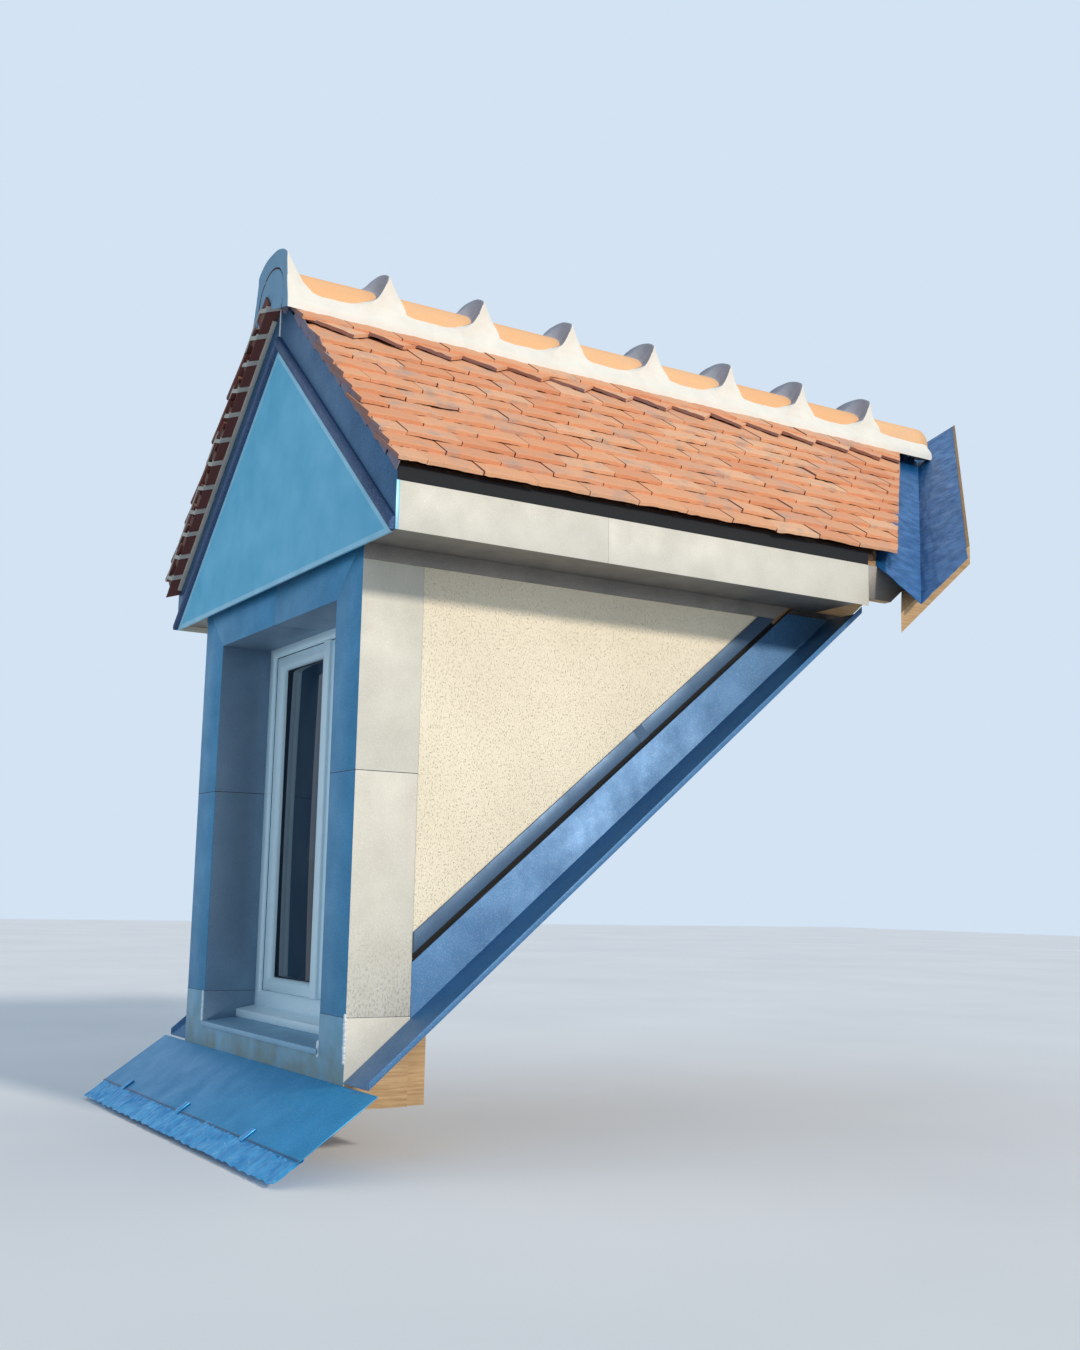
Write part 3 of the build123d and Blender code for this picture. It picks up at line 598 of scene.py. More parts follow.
def finish_of(name):
    """The finishes, each made once, when a piece first asks for it."""
    if name in FINISHES:
        return FINISHES[name]
    zinc = bpy.context.scene.dormer_zinc
    # All these zincs are one grey sheet. The blue ones are painted with the sky's shade on faces turned from
    # the sun, and the pale warm ones with sunlight. The darker ones add painted shade, and the lighter ones
    # painted highlights.
    makers = {
        "front zinc": lambda: rolled_zinc("Front zinc, painted sky shade", zinc.code("front"), "#287BA6"),
        "side zinc": lambda: rolled_zinc("Side zinc, painted sunlit tone", zinc.code("side"), "#CFCBBC", metallic=0.1,
                                         roughness=0.62, speckle=0.3, drips=0.45, wave=0.05),
        "reveal zinc": lambda: rolled_zinc("Reveal zinc, painted shade", "#8099AE", "#7690A6"),
        "sill zinc": lambda: rolled_zinc("Sill zinc, rolled", "#88B4CE", "#7CA8C4", wave=0.05),
        "base zinc": lambda: stained_base("Base zinc, painted sky shade and flux stain", "#74AAC4", "#6399B6"),
        "eaves zinc": lambda: rolled_zinc("Eaves zinc, painted sunlit tone", "#DAD6C8", "#CCC8BA", metallic=0.1,
                                          roughness=0.62, speckle=0.3, wave=0.05),
        "soffit zinc": lambda: rolled_zinc("Soffit zinc, painted shade", "#8A847C", "#726E69", metallic=0.2),
        "panel zinc": lambda: rolled_zinc("Gable zinc, rolled", "#5CB8D8", "#52AED0", speckle=0.04,
                                          wave=0.05),
        "hem zinc": lambda: rolled_zinc("Hem zinc, painted highlight", "#98CFE4", "#88C0D8", speckle=0.04),
        "barge zinc": lambda: rolled_zinc("Bargeboard zinc, rolled", "#2C638C", "#25587F"),
        "bead zinc": lambda: rolled_zinc("Bead zinc, painted shade", "#1B4472", "#163960"),
        "strip zinc": lambda: rolled_zinc("Cover strip zinc, painted shadow", "#4A6682", "#3F5974", speckle=0.04),
        "flashing zinc": lambda: rolled_zinc("Side flashing zinc, rolled", "#3F77A6", "#346A98",
                                             metallic=0.2, wave=0.05),
        "apron zinc": lambda: rolled_zinc("Apron zinc, rolled", "#1C90C4", "#1884B6"),
        "valley zinc": lambda: hammered_zinc("Valley zinc, dressed", "#1470B2", "#10588F", "#5E9FD2"),
        "skirt zinc": lambda: hammered_zinc("Skirt zinc, pleated", "#48B0E4", "#2F8CC8", "#F0FCFF"),
        "seam": lambda: sealing_rubber("Shadow in the seams"),
        "clay": lambda: fired_clay("Plain clay tiles, fired",
                                   ["#E8A176", "#F5B587", "#ECA77A", "#F8C49A", "#E8AB85"],
                                   "#BBA99E", "#9A6650"),
        "tile edge": lambda: fired_clay("Tile edges, painted shade", ["#A4705E", "#987672", "#AC745E"], "#8F8790",
                                        "#6A4A42"),
        "tile back": lambda: fired_clay("Tile undersides, painted shade", ["#6B3B36", "#7A443C", "#5E3532"],
                                        "#6A5454", "#45292A"),
        "undercloak": lambda: fired_clay("Verge slips, painted grey shade", ["#857C8C", "#8F8590", "#78707E"],
                                         "#9A94A0", "#5C5560"),
        "ridge clay": lambda: fired_clay("Ridge clay, fired", ["#F8C08A", "#FBCB97"], "#F2C6A2",
                                         "#C97F4B", 0.0006),
        "mortar": lambda: trowelled_mortar("Ridge mortar, trowelled", "#F4F1E6", "#E2DED2"),
        "end mortar": lambda: trowelled_mortar("End mortar, painted blue shade", "#7FA9C4", "#6E98B4"),
        "groove shade mortar": lambda: trowelled_mortar("Groove mortar, painted shade", "#6C5C5E", "#5A4C50"),
        "hollow mortar": lambda: trowelled_mortar("Crest mortar, painted hollow shade", "#A4A8B4", "#9498A6"),
        "verge mortar": lambda: trowelled_mortar("Verge mortar, pointed", "#BDBAB0", "#A3A29C"),
        "render": lambda: scraped_render("Cheek render, scraped", "#FCF0D6", "#EBDEC2"),
        # The white PVC is tinted blue: painted sky shade.
        "pvc": lambda: moulded_pvc("Window PVC, painted sky shade", "#D8F2FC"),
        "white sill": lambda: moulded_pvc("Window sill PVC, painted sky shade", "#E0F7FF"),
        "pane": lambda: window_pane("Window glass", "#142A3E"),
        # Near-black strips painted as shadow at the eaves and in the cheek groove.
        "felt": lambda: sealing_rubber("Black felt, painted shadow", "#0C0D10", "#16181C"),
        "rubber": lambda: sealing_rubber("Glazing seal, EPDM"),
        "timber": lambda: sawn_softwood("Frame spruce, sawn", "#C9A77C", "#A9855A"),
        "batten": lambda: sawn_softwood("Batten spruce, stained", "#6E4A3C", "#553A30"),
        "shadow dark board": lambda: sawn_softwood("Sheathing board, painted shadow dark", "#3A3C40", "#2A2C30"),
        "solder": lambda: soft_solder("Solder bead"),
        "floor": lambda: plain_floor("Studio floor", "#FCFCFC"),
    }
    FINISHES[name] = makers[name]()
    return FINISHES[name]


# Settings
class DormerZinc(bpy.types.PropertyGroup):
    # Front: the front sheets' zinc, blue with painted sky shade. Sides: the returns' zinc, pale and warm
    # with painted sunlight.
    front: FloatVectorProperty(name="Front", description="Colour of the front sheets", subtype="COLOR_GAMMA",
                               size=3, min=0, max=1, default=(0.192, 0.537, 0.714))
    side: FloatVectorProperty(name="Sides", description="Colour of the corner returns", size=3, min=0, max=1,
                              subtype="COLOR_GAMMA", default=(0.862, 0.847, 0.788))
    fold: FloatProperty(name="Fold radius", description="Radius of the folded edges", unit="LENGTH",
                        default=1.6 * MM, min=0.2 * MM, max=3 * MM)
    clips: IntProperty(name="Clips", description="Clips that hold the apron's edge", default=3, min=0)
    pleat: FloatProperty(name="Pleat", description="Width of a pleat in the skirt", unit="LENGTH",
                         default=30 * MM)

    def code(self, name):
        return "#" + "".join(f"{round(part * 255):02X}" for part in getattr(self, name))


class DormerTiles(bpy.types.PropertyGroup):
    width: FloatProperty(name="Width", description="Width of one tile with its joint", unit="LENGTH",
                         default=163 * MM)
    length: FloatProperty(name="Length", description="Length of one tile under the next courses",
                          unit="LENGTH", default=186 * MM)
    thickness: FloatProperty(name="Thickness", description="Thickness of one tile", unit="LENGTH",
                             default=11.5 * MM)
    gauge: FloatProperty(name="Gauge", description="Distance from one course to the next", unit="LENGTH",
                         default=84 * MM)
    tilt: FloatProperty(name="Unevenness", description="How far a tile may turn from its neighbours",
                        subtype="ANGLE", default=math.radians(0.7))
    seed: IntProperty(name="Seed", description="Which set of uneven tiles is laid", default=7)


class DormerRidge(bpy.types.PropertyGroup):
    radius: FloatProperty(name="Radius", description="Outer radius of the ridge tiles", unit="LENGTH",
                          default=RIDGE_HIGH.x)
    wall: FloatProperty(name="Wall", description="Thickness of a ridge tile", unit="LENGTH", default=14 * MM)
    pitch: FloatProperty(name="Pitch", description="Distance from crest to crest", unit="LENGTH",
                         default=340 * MM)
    roughness: FloatProperty(name="Trowel marks", description="Height of the trowel's marks", unit="LENGTH",
                             default=3 * MM)


class DormerStage(bpy.types.PropertyGroup):
    key: FloatProperty(name="Key light", description="Strength of the sun-like lamp", default=2.0, min=0)
    fill: FloatProperty(name="Fill light", description="Strength of the light from all sides", default=0.62,
                        min=0)


SETTINGS = {"dormer_zinc": DormerZinc, "dormer_tiles": DormerTiles, "dormer_ridge": DormerRidge,
            "dormer_stage": DormerStage}


# Timber
class DORMER_OT_timber(bpy.types.Operator):
    """Give the timber frame, battens and boards their sawn finish"""
    bl_idname = "dormer.timber"
    bl_label = "Timber frame"

    def execute(self, context):
        for node in ("front_sole", "corner_posts", "lintel_beam", "cheek_wall_left", "cheek_wall_right",
                     "wall_plates", "rafters", "ridge_beam", "roof_boards_left",
                     "roof_boards_right", "gable_board", "fascia_boards", "valley_boards"):
            keep_node(node, "timber")
        keep_node("battens", "batten")
        # The cheek boards are painted near black as the shadow in the groove under the cover strips.
        keep_node("cheek_boards", "shadow dark board")
        return {"FINISHED"}


# Zinc front
def sheet_copy(name, nodes, *finishes):
    """A folded sheet from its CAD nodes, with rounded folds."""
    fold = bpy.context.scene.dormer_zinc.fold
    piece = soften(worked_copy(name, *nodes), fold)
    paint(piece, *finishes)
    return fit(piece, "zinc", *nodes)


def solder_bead(name, x, y, low, high):
    """A run of solder drops up a seam."""
    rng = random.Random(round(x * 1000))
    drops = []
    height = low
    while height < high:
        size = rng.uniform(5, 7) * MM
        deselect()
        bpy.ops.mesh.primitive_ico_sphere_add(subdivisions=2, radius=size,
                                              location=(x + rng.uniform(-2, 2) * MM, y, height))
        drop = bpy.context.active_object
        drop.scale = (1.1, 0.6, 1.35)
        drops.append(place_mesh(drop))
        height += size * 1.5
    piece = join(name, drops)
    crinkle(piece, 0.006, 0.002, "Solder lumps")
    work_on(piece)
    bpy.ops.object.shade_smooth()
    return dress(piece, "solder", "zinc")


class DORMER_OT_front(bpy.types.Operator):
    """Fold the zinc sheets of the front, with their seams and solder"""
    bl_idname = "dormer.front"
    bl_label = "Zinc front"

    def execute(self, context):
        low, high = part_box("jamb_cladding_lower")
        face = low.y
        side = high.x
        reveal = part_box("sill_cladding")[1].x
        corner = 4 * MM
        sheets = {"jamb_sheets_lower": "jamb_cladding_lower", "jamb_sheets_upper": "jamb_cladding_upper",
                  "lintel_sheet_left": "lintel_cladding_left", "lintel_sheet_right": "lintel_cladding_right",
                  "base_sheet": "front_base"}

        def on_return(centre, normal):
            return abs(centre.x) > side - corner and abs(normal.x) > 0.6

        # Faces inside the opening get a greyer zinc: painted shade in the reveal.
        def in_reveal(centre, normal):
            return centre.y > face + corner and abs(centre.x) < side - corner

        # Each sheet's front is painted blue as sky shade, its returns pale as sunlight, and its reveal
        # greyer as shade.
        for name, node in sheets.items():
            finishes = ("base zinc", "eaves zinc") if name == "base_sheet" else ("front zinc", "side zinc")
            piece = sheet_copy(name, [node], *finishes, "reveal zinc")
            paint_faces(piece, 1, on_return)
            paint_faces(piece, 2, in_reveal)
        sheet_copy("sill_sheet", ["sill_cladding"], "sill zinc")
        self.joints(reveal)
        low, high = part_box("front_base")
        solder_bead("solder_right", side - 1.5 * MM, face - 1 * MM, high.z - 107 * MM, high.z + 4 * MM)
        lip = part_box("sill_cladding")[0].z
        solder_bead("solder_sill", reveal - 4 * MM, face, lip, lip + 34 * MM)
        solder_bead("solder_left", -reveal - 12 * MM, face, low.z + 100 * MM, high.z)
        return {"FINISHED"}

    def joints(self, reveal):
        """The dark line in each joint where two sheets hook together."""
        half = 1.5 * MM
        inset = 0.1 * MM
        low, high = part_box("jamb_cladding_lower")
        lines = []
        for height in (low.z, high.z):
            for near, far in ((-high.x + inset, -reveal - inset), (reveal + inset, high.x - inset)):
                lines.append(block("joint", (near, low.y + inset, height - half),
                                   (far, high.y - inset, height + half)))
        lintel_low, lintel_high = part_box("lintel_cladding_right")
        lines.append(block("joint", (-half, lintel_low.y + inset, lintel_low.z + inset),
                           (half, lintel_high.y - inset, lintel_high.z - inset)))
        dress(soften(join("front_sheet_joints", lines), 0), "seam", "zinc")


# Apron
def on_apron(distance, above=0):
    """Moves a piece drawn flat, with y up the slope, to that distance down the apron."""
    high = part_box("apron")[1]
    down = Vector((0, -math.cos(APRON_PITCH), -math.sin(APRON_PITCH)))
    off = Vector((0, -math.sin(APRON_PITCH), math.cos(APRON_PITCH)))
    place = Vector((0, high.y, high.z)) + down * distance + off * above
    return Matrix.Translation(place) @ Matrix.Rotation(APRON_PITCH, 4, "X")


class DORMER_OT_apron(bpy.types.Operator):
    """Make the apron under the window, its folded edge, clips and pleated skirt"""
    bl_idname = "dormer.apron"
    bl_label = "Apron"

    def execute(self, context):
        zinc = context.scene.dormer_zinc
        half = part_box("apron")[1].x
        sheet_copy("apron_sheet", ["apron"], "apron zinc")
        # The fold is a rounded strip in the dark bargeboard zinc: painted shade along the crease.
        lip = block("apron_fold", (-half, -3 * MM, -3 * MM), (half, 3 * MM, 1.6 * MM))
        soften(lip, 1.2 * MM, 3)
        dress(moved(lip, on_apron(APRON_LENGTH - 7 * MM)), "barge zinc", "zinc")
        clips = []
        for index in range(zinc.clips):
            clip = block("clip", (-14 * MM, -19 * MM, 0), (14 * MM, 19 * MM, 3 * MM))
            edit(clip)
            choose_faces(lambda centre, normal: normal.y < -0.9)
            bpy.ops.mesh.extrude_region_move(TRANSFORM_OT_translate={"value": (0, -6 * MM, -3 * MM)})
            leave_edit()
            soften(clip, 0.8 * MM)
            across = CLIP_PLACES[index % len(CLIP_PLACES)]
            clips.append(moved(clip, on_apron(APRON_LENGTH - SKIRT_LAP, 1.5 * MM), (across, 0, 0)))
        dress(join("apron_clips", clips), "skirt zinc", "zinc")
        self.skirt(half, zinc.pleat)
        return {"FINISHED"}

    def skirt(self, half, pleat):
        """A strip of soft zinc in small pleats, dressed down by hand over the tiles below."""
        columns = 2 * round(2 * half / pleat)
        deselect()
        bpy.ops.mesh.primitive_grid_add(x_subdivisions=columns, y_subdivisions=6, size=1)
        strip = bpy.context.active_object
        strip.name = "apron_skirt_pleats"
        strip.scale = (2 * half, SKIRT_REACH, 1)
        place_mesh(strip)
        step = 2 * half / columns

        def column(spot):
            return round((spot.x + half) / step)

        edit(strip)
        choose_points(lambda spot: column(spot) % 2 == 1 and spot.y < SKIRT_REACH * 0.4)
        bpy.ops.transform.translate(value=(step * 0.5, 0, 7 * MM))
        choose_points(lambda spot: spot.y < -SKIRT_REACH * 0.45 and column(spot) % 4 == 2)
        bpy.ops.transform.translate(value=(0, 5 * MM, 0))
        leave_edit()
        modify(strip, "SUBSURF", levels=1, render_levels=1)
        crinkle(strip, 0.03, 0.008, "Skirt crumple", "Z")
        crinkle(strip, 0.012, 0.004, "Skirt creases", "Z")
        crinkle(strip, 0.05, 0.008, "Skirt edge", "Y")
        modify(strip, "SOLIDIFY", thickness=1 * MM, offset=0)
        soften(strip, 0)
        moved(strip, on_apron(APRON_LENGTH - SKIRT_LAP + SKIRT_REACH / 2, -4 * MM))
        dress(strip, "skirt zinc", "zinc", "apron_skirt")


# Window
def ring(name, outer_low, outer_high, border, front, back):
    """A frame with that border between two upright rectangles, given as x and z."""
    piece = block(name, (outer_low[0], front, outer_low[1]), (outer_high[0], back, outer_high[1]))
    edit(piece)
    choose_faces(lambda centre, normal: abs(normal.y) > 0.9)
    bpy.ops.mesh.inset(thickness=border, use_individual=True)
    bpy.ops.mesh.bridge_edge_loops()
    leave_edit()
    return piece


def round_edges_at(piece, front, spots, width, segments=4):
    """Rounds only the front edges that lie on the given x and z lines."""
    across, upright = spots

    def near(value, places):
        return any(abs(value - place) < 0.2 * MM for place in places)

    edit(piece)
    choose_edges(lambda a, b: abs(a.y - front) < 0.2 * MM and abs(b.y - front) < 0.2 * MM and (
        (near(a.x, across) and near(b.x, across) and abs(a.x - b.x) < 0.2 * MM)
        or (near(a.z, upright) and near(b.z, upright) and abs(a.z - b.z) < 0.2 * MM)))
    bpy.ops.mesh.bevel(offset=width, segments=segments, profile=0.35, affect="EDGES")
    leave_edit()


class DORMER_OT_window(bpy.types.Operator):
    """Dress the white two-leaf window with its mouldings, seals and glass"""
    bl_idname = "dormer.window"
    bl_label = "Window"

    def execute(self, context):
        glass_low, glass_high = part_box("window_glass")
        leaf_low, leaf_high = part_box("window_leaves")
        meeting = min(abs(point.co.x) for point in frame["nodes"]["window_glass"].data.vertices)
        outer = worked_copy("window_outer_frame", "window_frame")
        side = leaf_high.x + 2 * MM
        lines = ((-side, side), (leaf_low.z, leaf_high.z + 2 * MM))
        round_edges_at(outer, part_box("window_frame")[0].y, lines, 7 * MM)
        dress(soften(outer, 1.2 * MM), "pvc", "pvc", "window_frame")
        leaves = worked_copy("window_sashes", "window_leaves")
        lines = ((-glass_high.x, -meeting, meeting, glass_high.x), (glass_low.z, glass_high.z))
        round_edges_at(leaves, leaf_low.y, lines, 13 * MM, 5)
        dress(soften(leaves, 2 * MM, 2), "pvc", "pvc", "window_leaves")
        cover = worked_copy("window_meeting_cover", "window_cover_strip")
        dress(soften(cover, 0), "pvc", "pvc", "window_cover_strip")
        sill = worked_copy("window_white_sill", "window_sill")
        dress(soften(sill, 3 * MM, 3), "white sill", "pvc", "window_sill")
        self.glazing(glass_low, glass_high, leaf_low, leaf_high, meeting)
        return {"FINISHED"}

    def glazing(self, glass_low, glass_high, leaf_low, leaf_high, meeting):
        """Each leaf's two panes with the dark spacer between them, and the seals round panes and leaves."""
        sheet = 4 * MM
        gap = 3.5 * MM
        seals = []
        panes = []
        spacers = []
        for left, right in ((-glass_high.x, -meeting), (meeting, glass_high.x)):
            low = (left, glass_low.z)
            high = (right, glass_high.z)
            seals.append(ring("seal", low, high, 3 * MM, glass_low.y - 1.5 * MM, glass_low.y + 1 * MM))
            for front, back in ((glass_low.y, glass_low.y + sheet), (glass_high.y - sheet, glass_high.y)):
                panes.append(block("pane", (left, front, low[1]), (right, back, high[1])))
            spacers.append(ring("spacer", low, high, 9 * MM, glass_low.y + sheet, glass_high.y - sheet))
        low = (-leaf_high.x - gap, leaf_low.z - gap)
        high = (leaf_high.x + gap, leaf_high.z + gap)
        seals.append(ring("leaf_seal", low, high, gap, leaf_low.y - 0.5 * MM, leaf_low.y + 3 * MM))
        dress(join("glazing_seals", seals), "rubber", "zinc")
        dress(soften(join("window_panes", panes), 0.5 * MM), "pane", "glass", "window_glass")
        dress(soften(join("glazing_spacers", spacers), 0), "rubber", "zinc")


# Cheeks
class DORMER_OT_cheeks(bpy.types.Operator):
    """Finish the rendered cheeks with their cover strips and flashings"""
    bl_idname = "dormer.cheeks"
    bl_label = "Cheeks"

    def execute(self, context):
        for side in ("left", "right"):
            cheek = worked_copy(f"cheek_coat_{side}", f"cheek_render_{side}")
            soften(cheek, 1.5 * MM)
            dress(cheek, "render", "render", f"cheek_render_{side}")
            sheet_copy(f"cheek_flashing_{side}", [f"side_flashing_{side}"], "flashing zinc")
        # The cover strips and their laps take a darkened zinc: painted shadow.
        sheet_copy("cheek_cover_strips", ["cover_strips"], "strip zinc")
        # The friezes take a darker zinc: painted shade under the eaves.
        sheet_copy("cheek_friezes", ["friezes"], "soffit zinc")
        self.laps()
        return {"FINISHED"}

    def laps(self):
        """The lapped joint in each cover strip, and a black strip in the groove below it, painted as shadow.
        """
        low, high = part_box("cover_strips")
        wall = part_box("cheek_wall_right")[1].x
        edge = high.z - (high.y - STRIP_JOINT) * math.tan(MAIN_PITCH)
        turn = Matrix.Rotation(MAIN_PITCH, 4, "X")
        half = STRIP_WIDTH / 2 * math.cos(MAIN_PITCH)
        length = (high.y - low.y) / math.cos(MAIN_PITCH)
        plates = []
        felts = []
        for sign in (-1, 1):
            plate = block("lap", (-0.5 * MM, -18 * MM, -half), (0.5 * MM, 18 * MM, half))
            soften(plate, 0.4 * MM, 1)
            place = Matrix.Translation((sign * high.x, STRIP_JOINT, edge + STRIP_WIDTH / 2))
            plates.append(moved(plate, place @ turn))
            felt = block("felt", (-0.4 * MM, 0, -60 * MM), (0.4 * MM, length, 30 * MM))
            place = Matrix.Translation((sign * (wall + 0.6 * MM), low.y, low.z))
            felts.append(moved(felt, place @ turn))
        dress(join("cover_strip_laps", plates), "strip zinc", "zinc")
        # Black strips in the groove: painted shadow.
        dress(join("cheek_groove_shadow_felt", felts), "felt", "zinc")


# Eaves and gable
class DORMER_OT_eaves(bpy.types.Operator):
    """Fold the fascias, soffits, bargeboards and the gable panel with its bead"""
    bl_idname = "dormer.eaves"
    bl_label = "Eaves and gable"

    def execute(self, context):
        # The fascias take the pale zinc painted with sunlight.
        sheet_copy("eaves_fascias_front", ["fascias_front"], "eaves zinc")
        sheet_copy("eaves_fascias_rear", ["fascias_rear"], "eaves zinc")
        # Soffits and end flashings take a darker zinc: painted shade under the eaves.
        sheet_copy("eaves_soffits", ["side_soffits", "front_soffit"], "soffit zinc")
        sheet_copy("eaves_ends", ["end_flashings"], "soffit zinc")
        for side in ("left", "right"):
            sheet_copy(f"barge_sheet_{side}", [f"bargeboard_{side}"], "barge zinc")
        self.panel()
        # The bead takes a darker navy zinc: painted shade.
        dress(soften(worked_copy("gable_bead", "rake_bead"), 0), "bead zinc", "zinc", "rake_bead")
        self.hems()
        return {"FINISHED"}

    def panel(self):
        """The triangular panel, its edges turned over in a flat hem that is painted lighter as a highlight.
        """
        low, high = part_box("gable_panel")
        panel = worked_copy("gable_sheet", "gable_panel")
        edit(panel)
        choose_faces(lambda centre, normal: normal.y < -0.9)
        bpy.ops.mesh.inset(thickness=14 * MM, depth=0)
        bpy.ops.mesh.inset(thickness=1.5 * MM, depth=-1.2 * MM)
        leave_edit()
        soften(panel, 0.4 * MM, 1)
        paint(panel, "panel zinc", "hem zinc")
        rise = math.tan(ROOF_PITCH)

        def in_hem(centre, normal):
            edge = min(centre.z - low.z, (high.z - centre.z - rise * abs(centre.x)) * math.cos(ROOF_PITCH))
            return edge < 15 * MM

        paint_faces(panel, 1, in_hem)
        fit(panel, "zinc", "gable_panel")

    def hems(self):
        """Thin folded edges on the fascias' front ends, painted lighter as a highlight, and the sealed mitre
        at the apex.
        """
        low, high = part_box("fascias_front")
        strips = []
        for sign in (-1, 1):
            strip = side_block("hem", sign, high.x + 0.2 * MM, high.x - 3 * MM, (low.y - 0.5 * MM, low.z),
                               (low.y + 9 * MM, high.z))
            strips.append(soften(strip, 0.6 * MM, 2))
        dress(join("fascia_hems", strips), "hem zinc", "zinc")
        low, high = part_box("bargeboard_right")
        seal = block("apex_seal", (-4 * MM, low.y - 2 * MM, high.z - 140 * MM),
                     (4 * MM, low.y + 1 * MM, high.z - 12 * MM))
        edit(seal)
        subdivide(8)
        leave_edit()
        crinkle(seal, 0.02, 0.002, "Seal wobble")
        dress(soften(seal, 0), "mortar", "mortar")


# Roof tiles
def off_slope(side):
    """The way off the slope's face on the right (1) or left (-1)."""
    return Vector((side * math.sin(ROOF_PITCH), 0, math.cos(ROOF_PITCH)))


def slope_axes(side):
    """A slope's own axes: down it, along the ridge and off its face."""
    down = Vector((side * DOWN.x, 0, DOWN.z))
    off = off_slope(side)
    axes = Matrix((down, off.cross(down), off)).transposed().to_4x4()
    return Matrix.Translation((0, 0, APEX)) @ axes


def course_tail(course, tiles):
    """How far down the slope the tails of a course lie."""
    return TILE_SLOPE - (COURSE_COUNT - course) * tiles.gauge


class DORMER_OT_tiles(bpy.types.Operator):
    """Lay the plain clay tiles course by course on both slopes"""
    bl_idname = "dormer.tiles"
    bl_label = "Roof tiles"

    def execute(self, context):
        tiles = context.scene.dormer_tiles
        self.rng = random.Random(tiles.seed)
        self.slope("right", 1, TILES_LOW.y, TILES_HIGH.y, tiles)
        self.slope("left", -1, TILES_LEFT_LOW.y, TILES_LEFT_HIGH.y, tiles)
        return {"FINISHED"}

    def tile(self, tiles):
        """One tile, drawn with its tail at x = 0, going back up the slope, a little cambered."""
        half = (tiles.width - 3 * MM) / 2
        piece = block("tile", (-tiles.length, -half, 0), (0, half, tiles.thickness))
        edit(piece)
        for line in range(1, 9):
            cut((0, (line / 4.5 - 1) * half, 0), (0, 1, 0))
        choose_points(lambda spot: abs(spot.y) < half * 0.6)
        bpy.ops.transform.translate(value=(0, 0, 0.9 * MM))
        choose_edges(lambda a, b: a.x > -0.5 * MM and b.x > -0.5 * MM
                     and a.z > tiles.thickness * 0.5 and b.z > tiles.thickness * 0.5)
        bpy.ops.mesh.bevel(offset=1.4 * MM, segments=1, affect="EDGES")
        leave_edit()
        return piece

    def slope(self, name, side, front, end, tiles):
        """All the courses of one slope, cut at the verge and along the valley."""
        model = self.tile(tiles)
        axes = slope_axes(side)
        fall = math.atan2(12 * MM, tiles.gauge)
        laid = []
        for course in range(2, COURSE_COUNT + 1):
            distance = course_tail(course, tiles)
            across = distance * math.cos(ROOF_PITCH)
            last = end - across * math.tan(ROOF_PITCH) / math.tan(MAIN_PITCH)
            teeth = course == TOOTH_COURSE
            start = front + (TOOTH_START if teeth else self.rng.uniform(-4, 6) * MM)
            share = 0.5 if course % 2 and not teeth else 1
            while start < last:
                width = tiles.width * share
                laid.append(self.lay(model, axes, side, distance, start + width / 2, fall, course, tiles,
                                     share))
                start += width
                share = 1
        bpy.data.objects.remove(model)
        field = join(f"clay_tiles_{name}", laid)
        edit(field)
        valley = Vector((side * math.tan(ROOF_PITCH), math.tan(MAIN_PITCH), 0)).normalized()
        cut((0, end, 0), valley, True, True)
        cut((0, front - 5 * MM, 0), (0, -1, 0), True, True)
        leave_edit()
        crinkle(field, 0.05, 0.0014, f"Tile warp {name}", "RGB_TO_XYZ")
        crinkle(field, 0.009, 0.0042, f"Tile chips {name}", "RGB_TO_XYZ")
        work_on(field)
        bpy.ops.object.shade_smooth_by_angle(angle=math.radians(28))
        paint(field, "clay", "tile edge", "tile back")
        off = off_slope(side)

        # Undersides, and the left verge's faces, are painted dark brown: painted shade.
        def underneath(centre, normal):
            return normal.dot(off) < -0.6 or (side < 0 and centre.y < front + 6 * MM)

        # Tile sides turned to the front are painted darker: painted shade.
        paint_faces(field, 1, lambda centre, normal: normal.y < -0.5 and abs(normal.dot(off)) < 0.6)
        paint_faces(field, 2, underneath)
        fit(field, "roof_tile", f"roof_tiles_{name}")

    def lay(self, model, axes, side, distance, middle, fall, course, tiles, share):
        """Lays one tile; those of the tooth course are turned on their corners, as a row of teeth."""
        rng = self.rng
        tilt = tiles.tilt
        off = COURSE_TOP - tiles.thickness + rng.uniform(0.3, 2.6) * MM
        yaw = rng.uniform(-tilt, tilt)
        roll = rng.uniform(-tilt, tilt) * 0.8
        rise = rng.uniform(0, tilt) * 0.5
        if rng.random() < 0.12 and side > 0:
            roll += math.copysign(math.radians(1.4), roll)
        slip = rng.uniform(-2.5, 2.5) * MM
        turn = Euler((roll, -fall - rise, yaw)).to_matrix().to_4x4()
        size = Matrix.Diagonal((0.6 if course == 2 else 1, share, 1, 1))
        if course == TOOTH_COURSE:
            corner = Matrix.Translation((0, -side * tiles.width / 2, 0))
            tooth = Matrix.Rotation(-side * TOOTH_TURN, 4, "Z") @ corner
            turn = Euler((roll * 2, -fall, 0)).to_matrix().to_4x4() @ tooth
            size = Matrix.Diagonal((TOOTH_LENGTH, 1, 1, 1))
            off += TOOTH_LIFT
        place = Matrix.Translation((distance + slip, side * middle, off))
        tile = copy_of(model, axes @ place @ turn @ size)
        give_tone(tile, rng.random())
        return tile


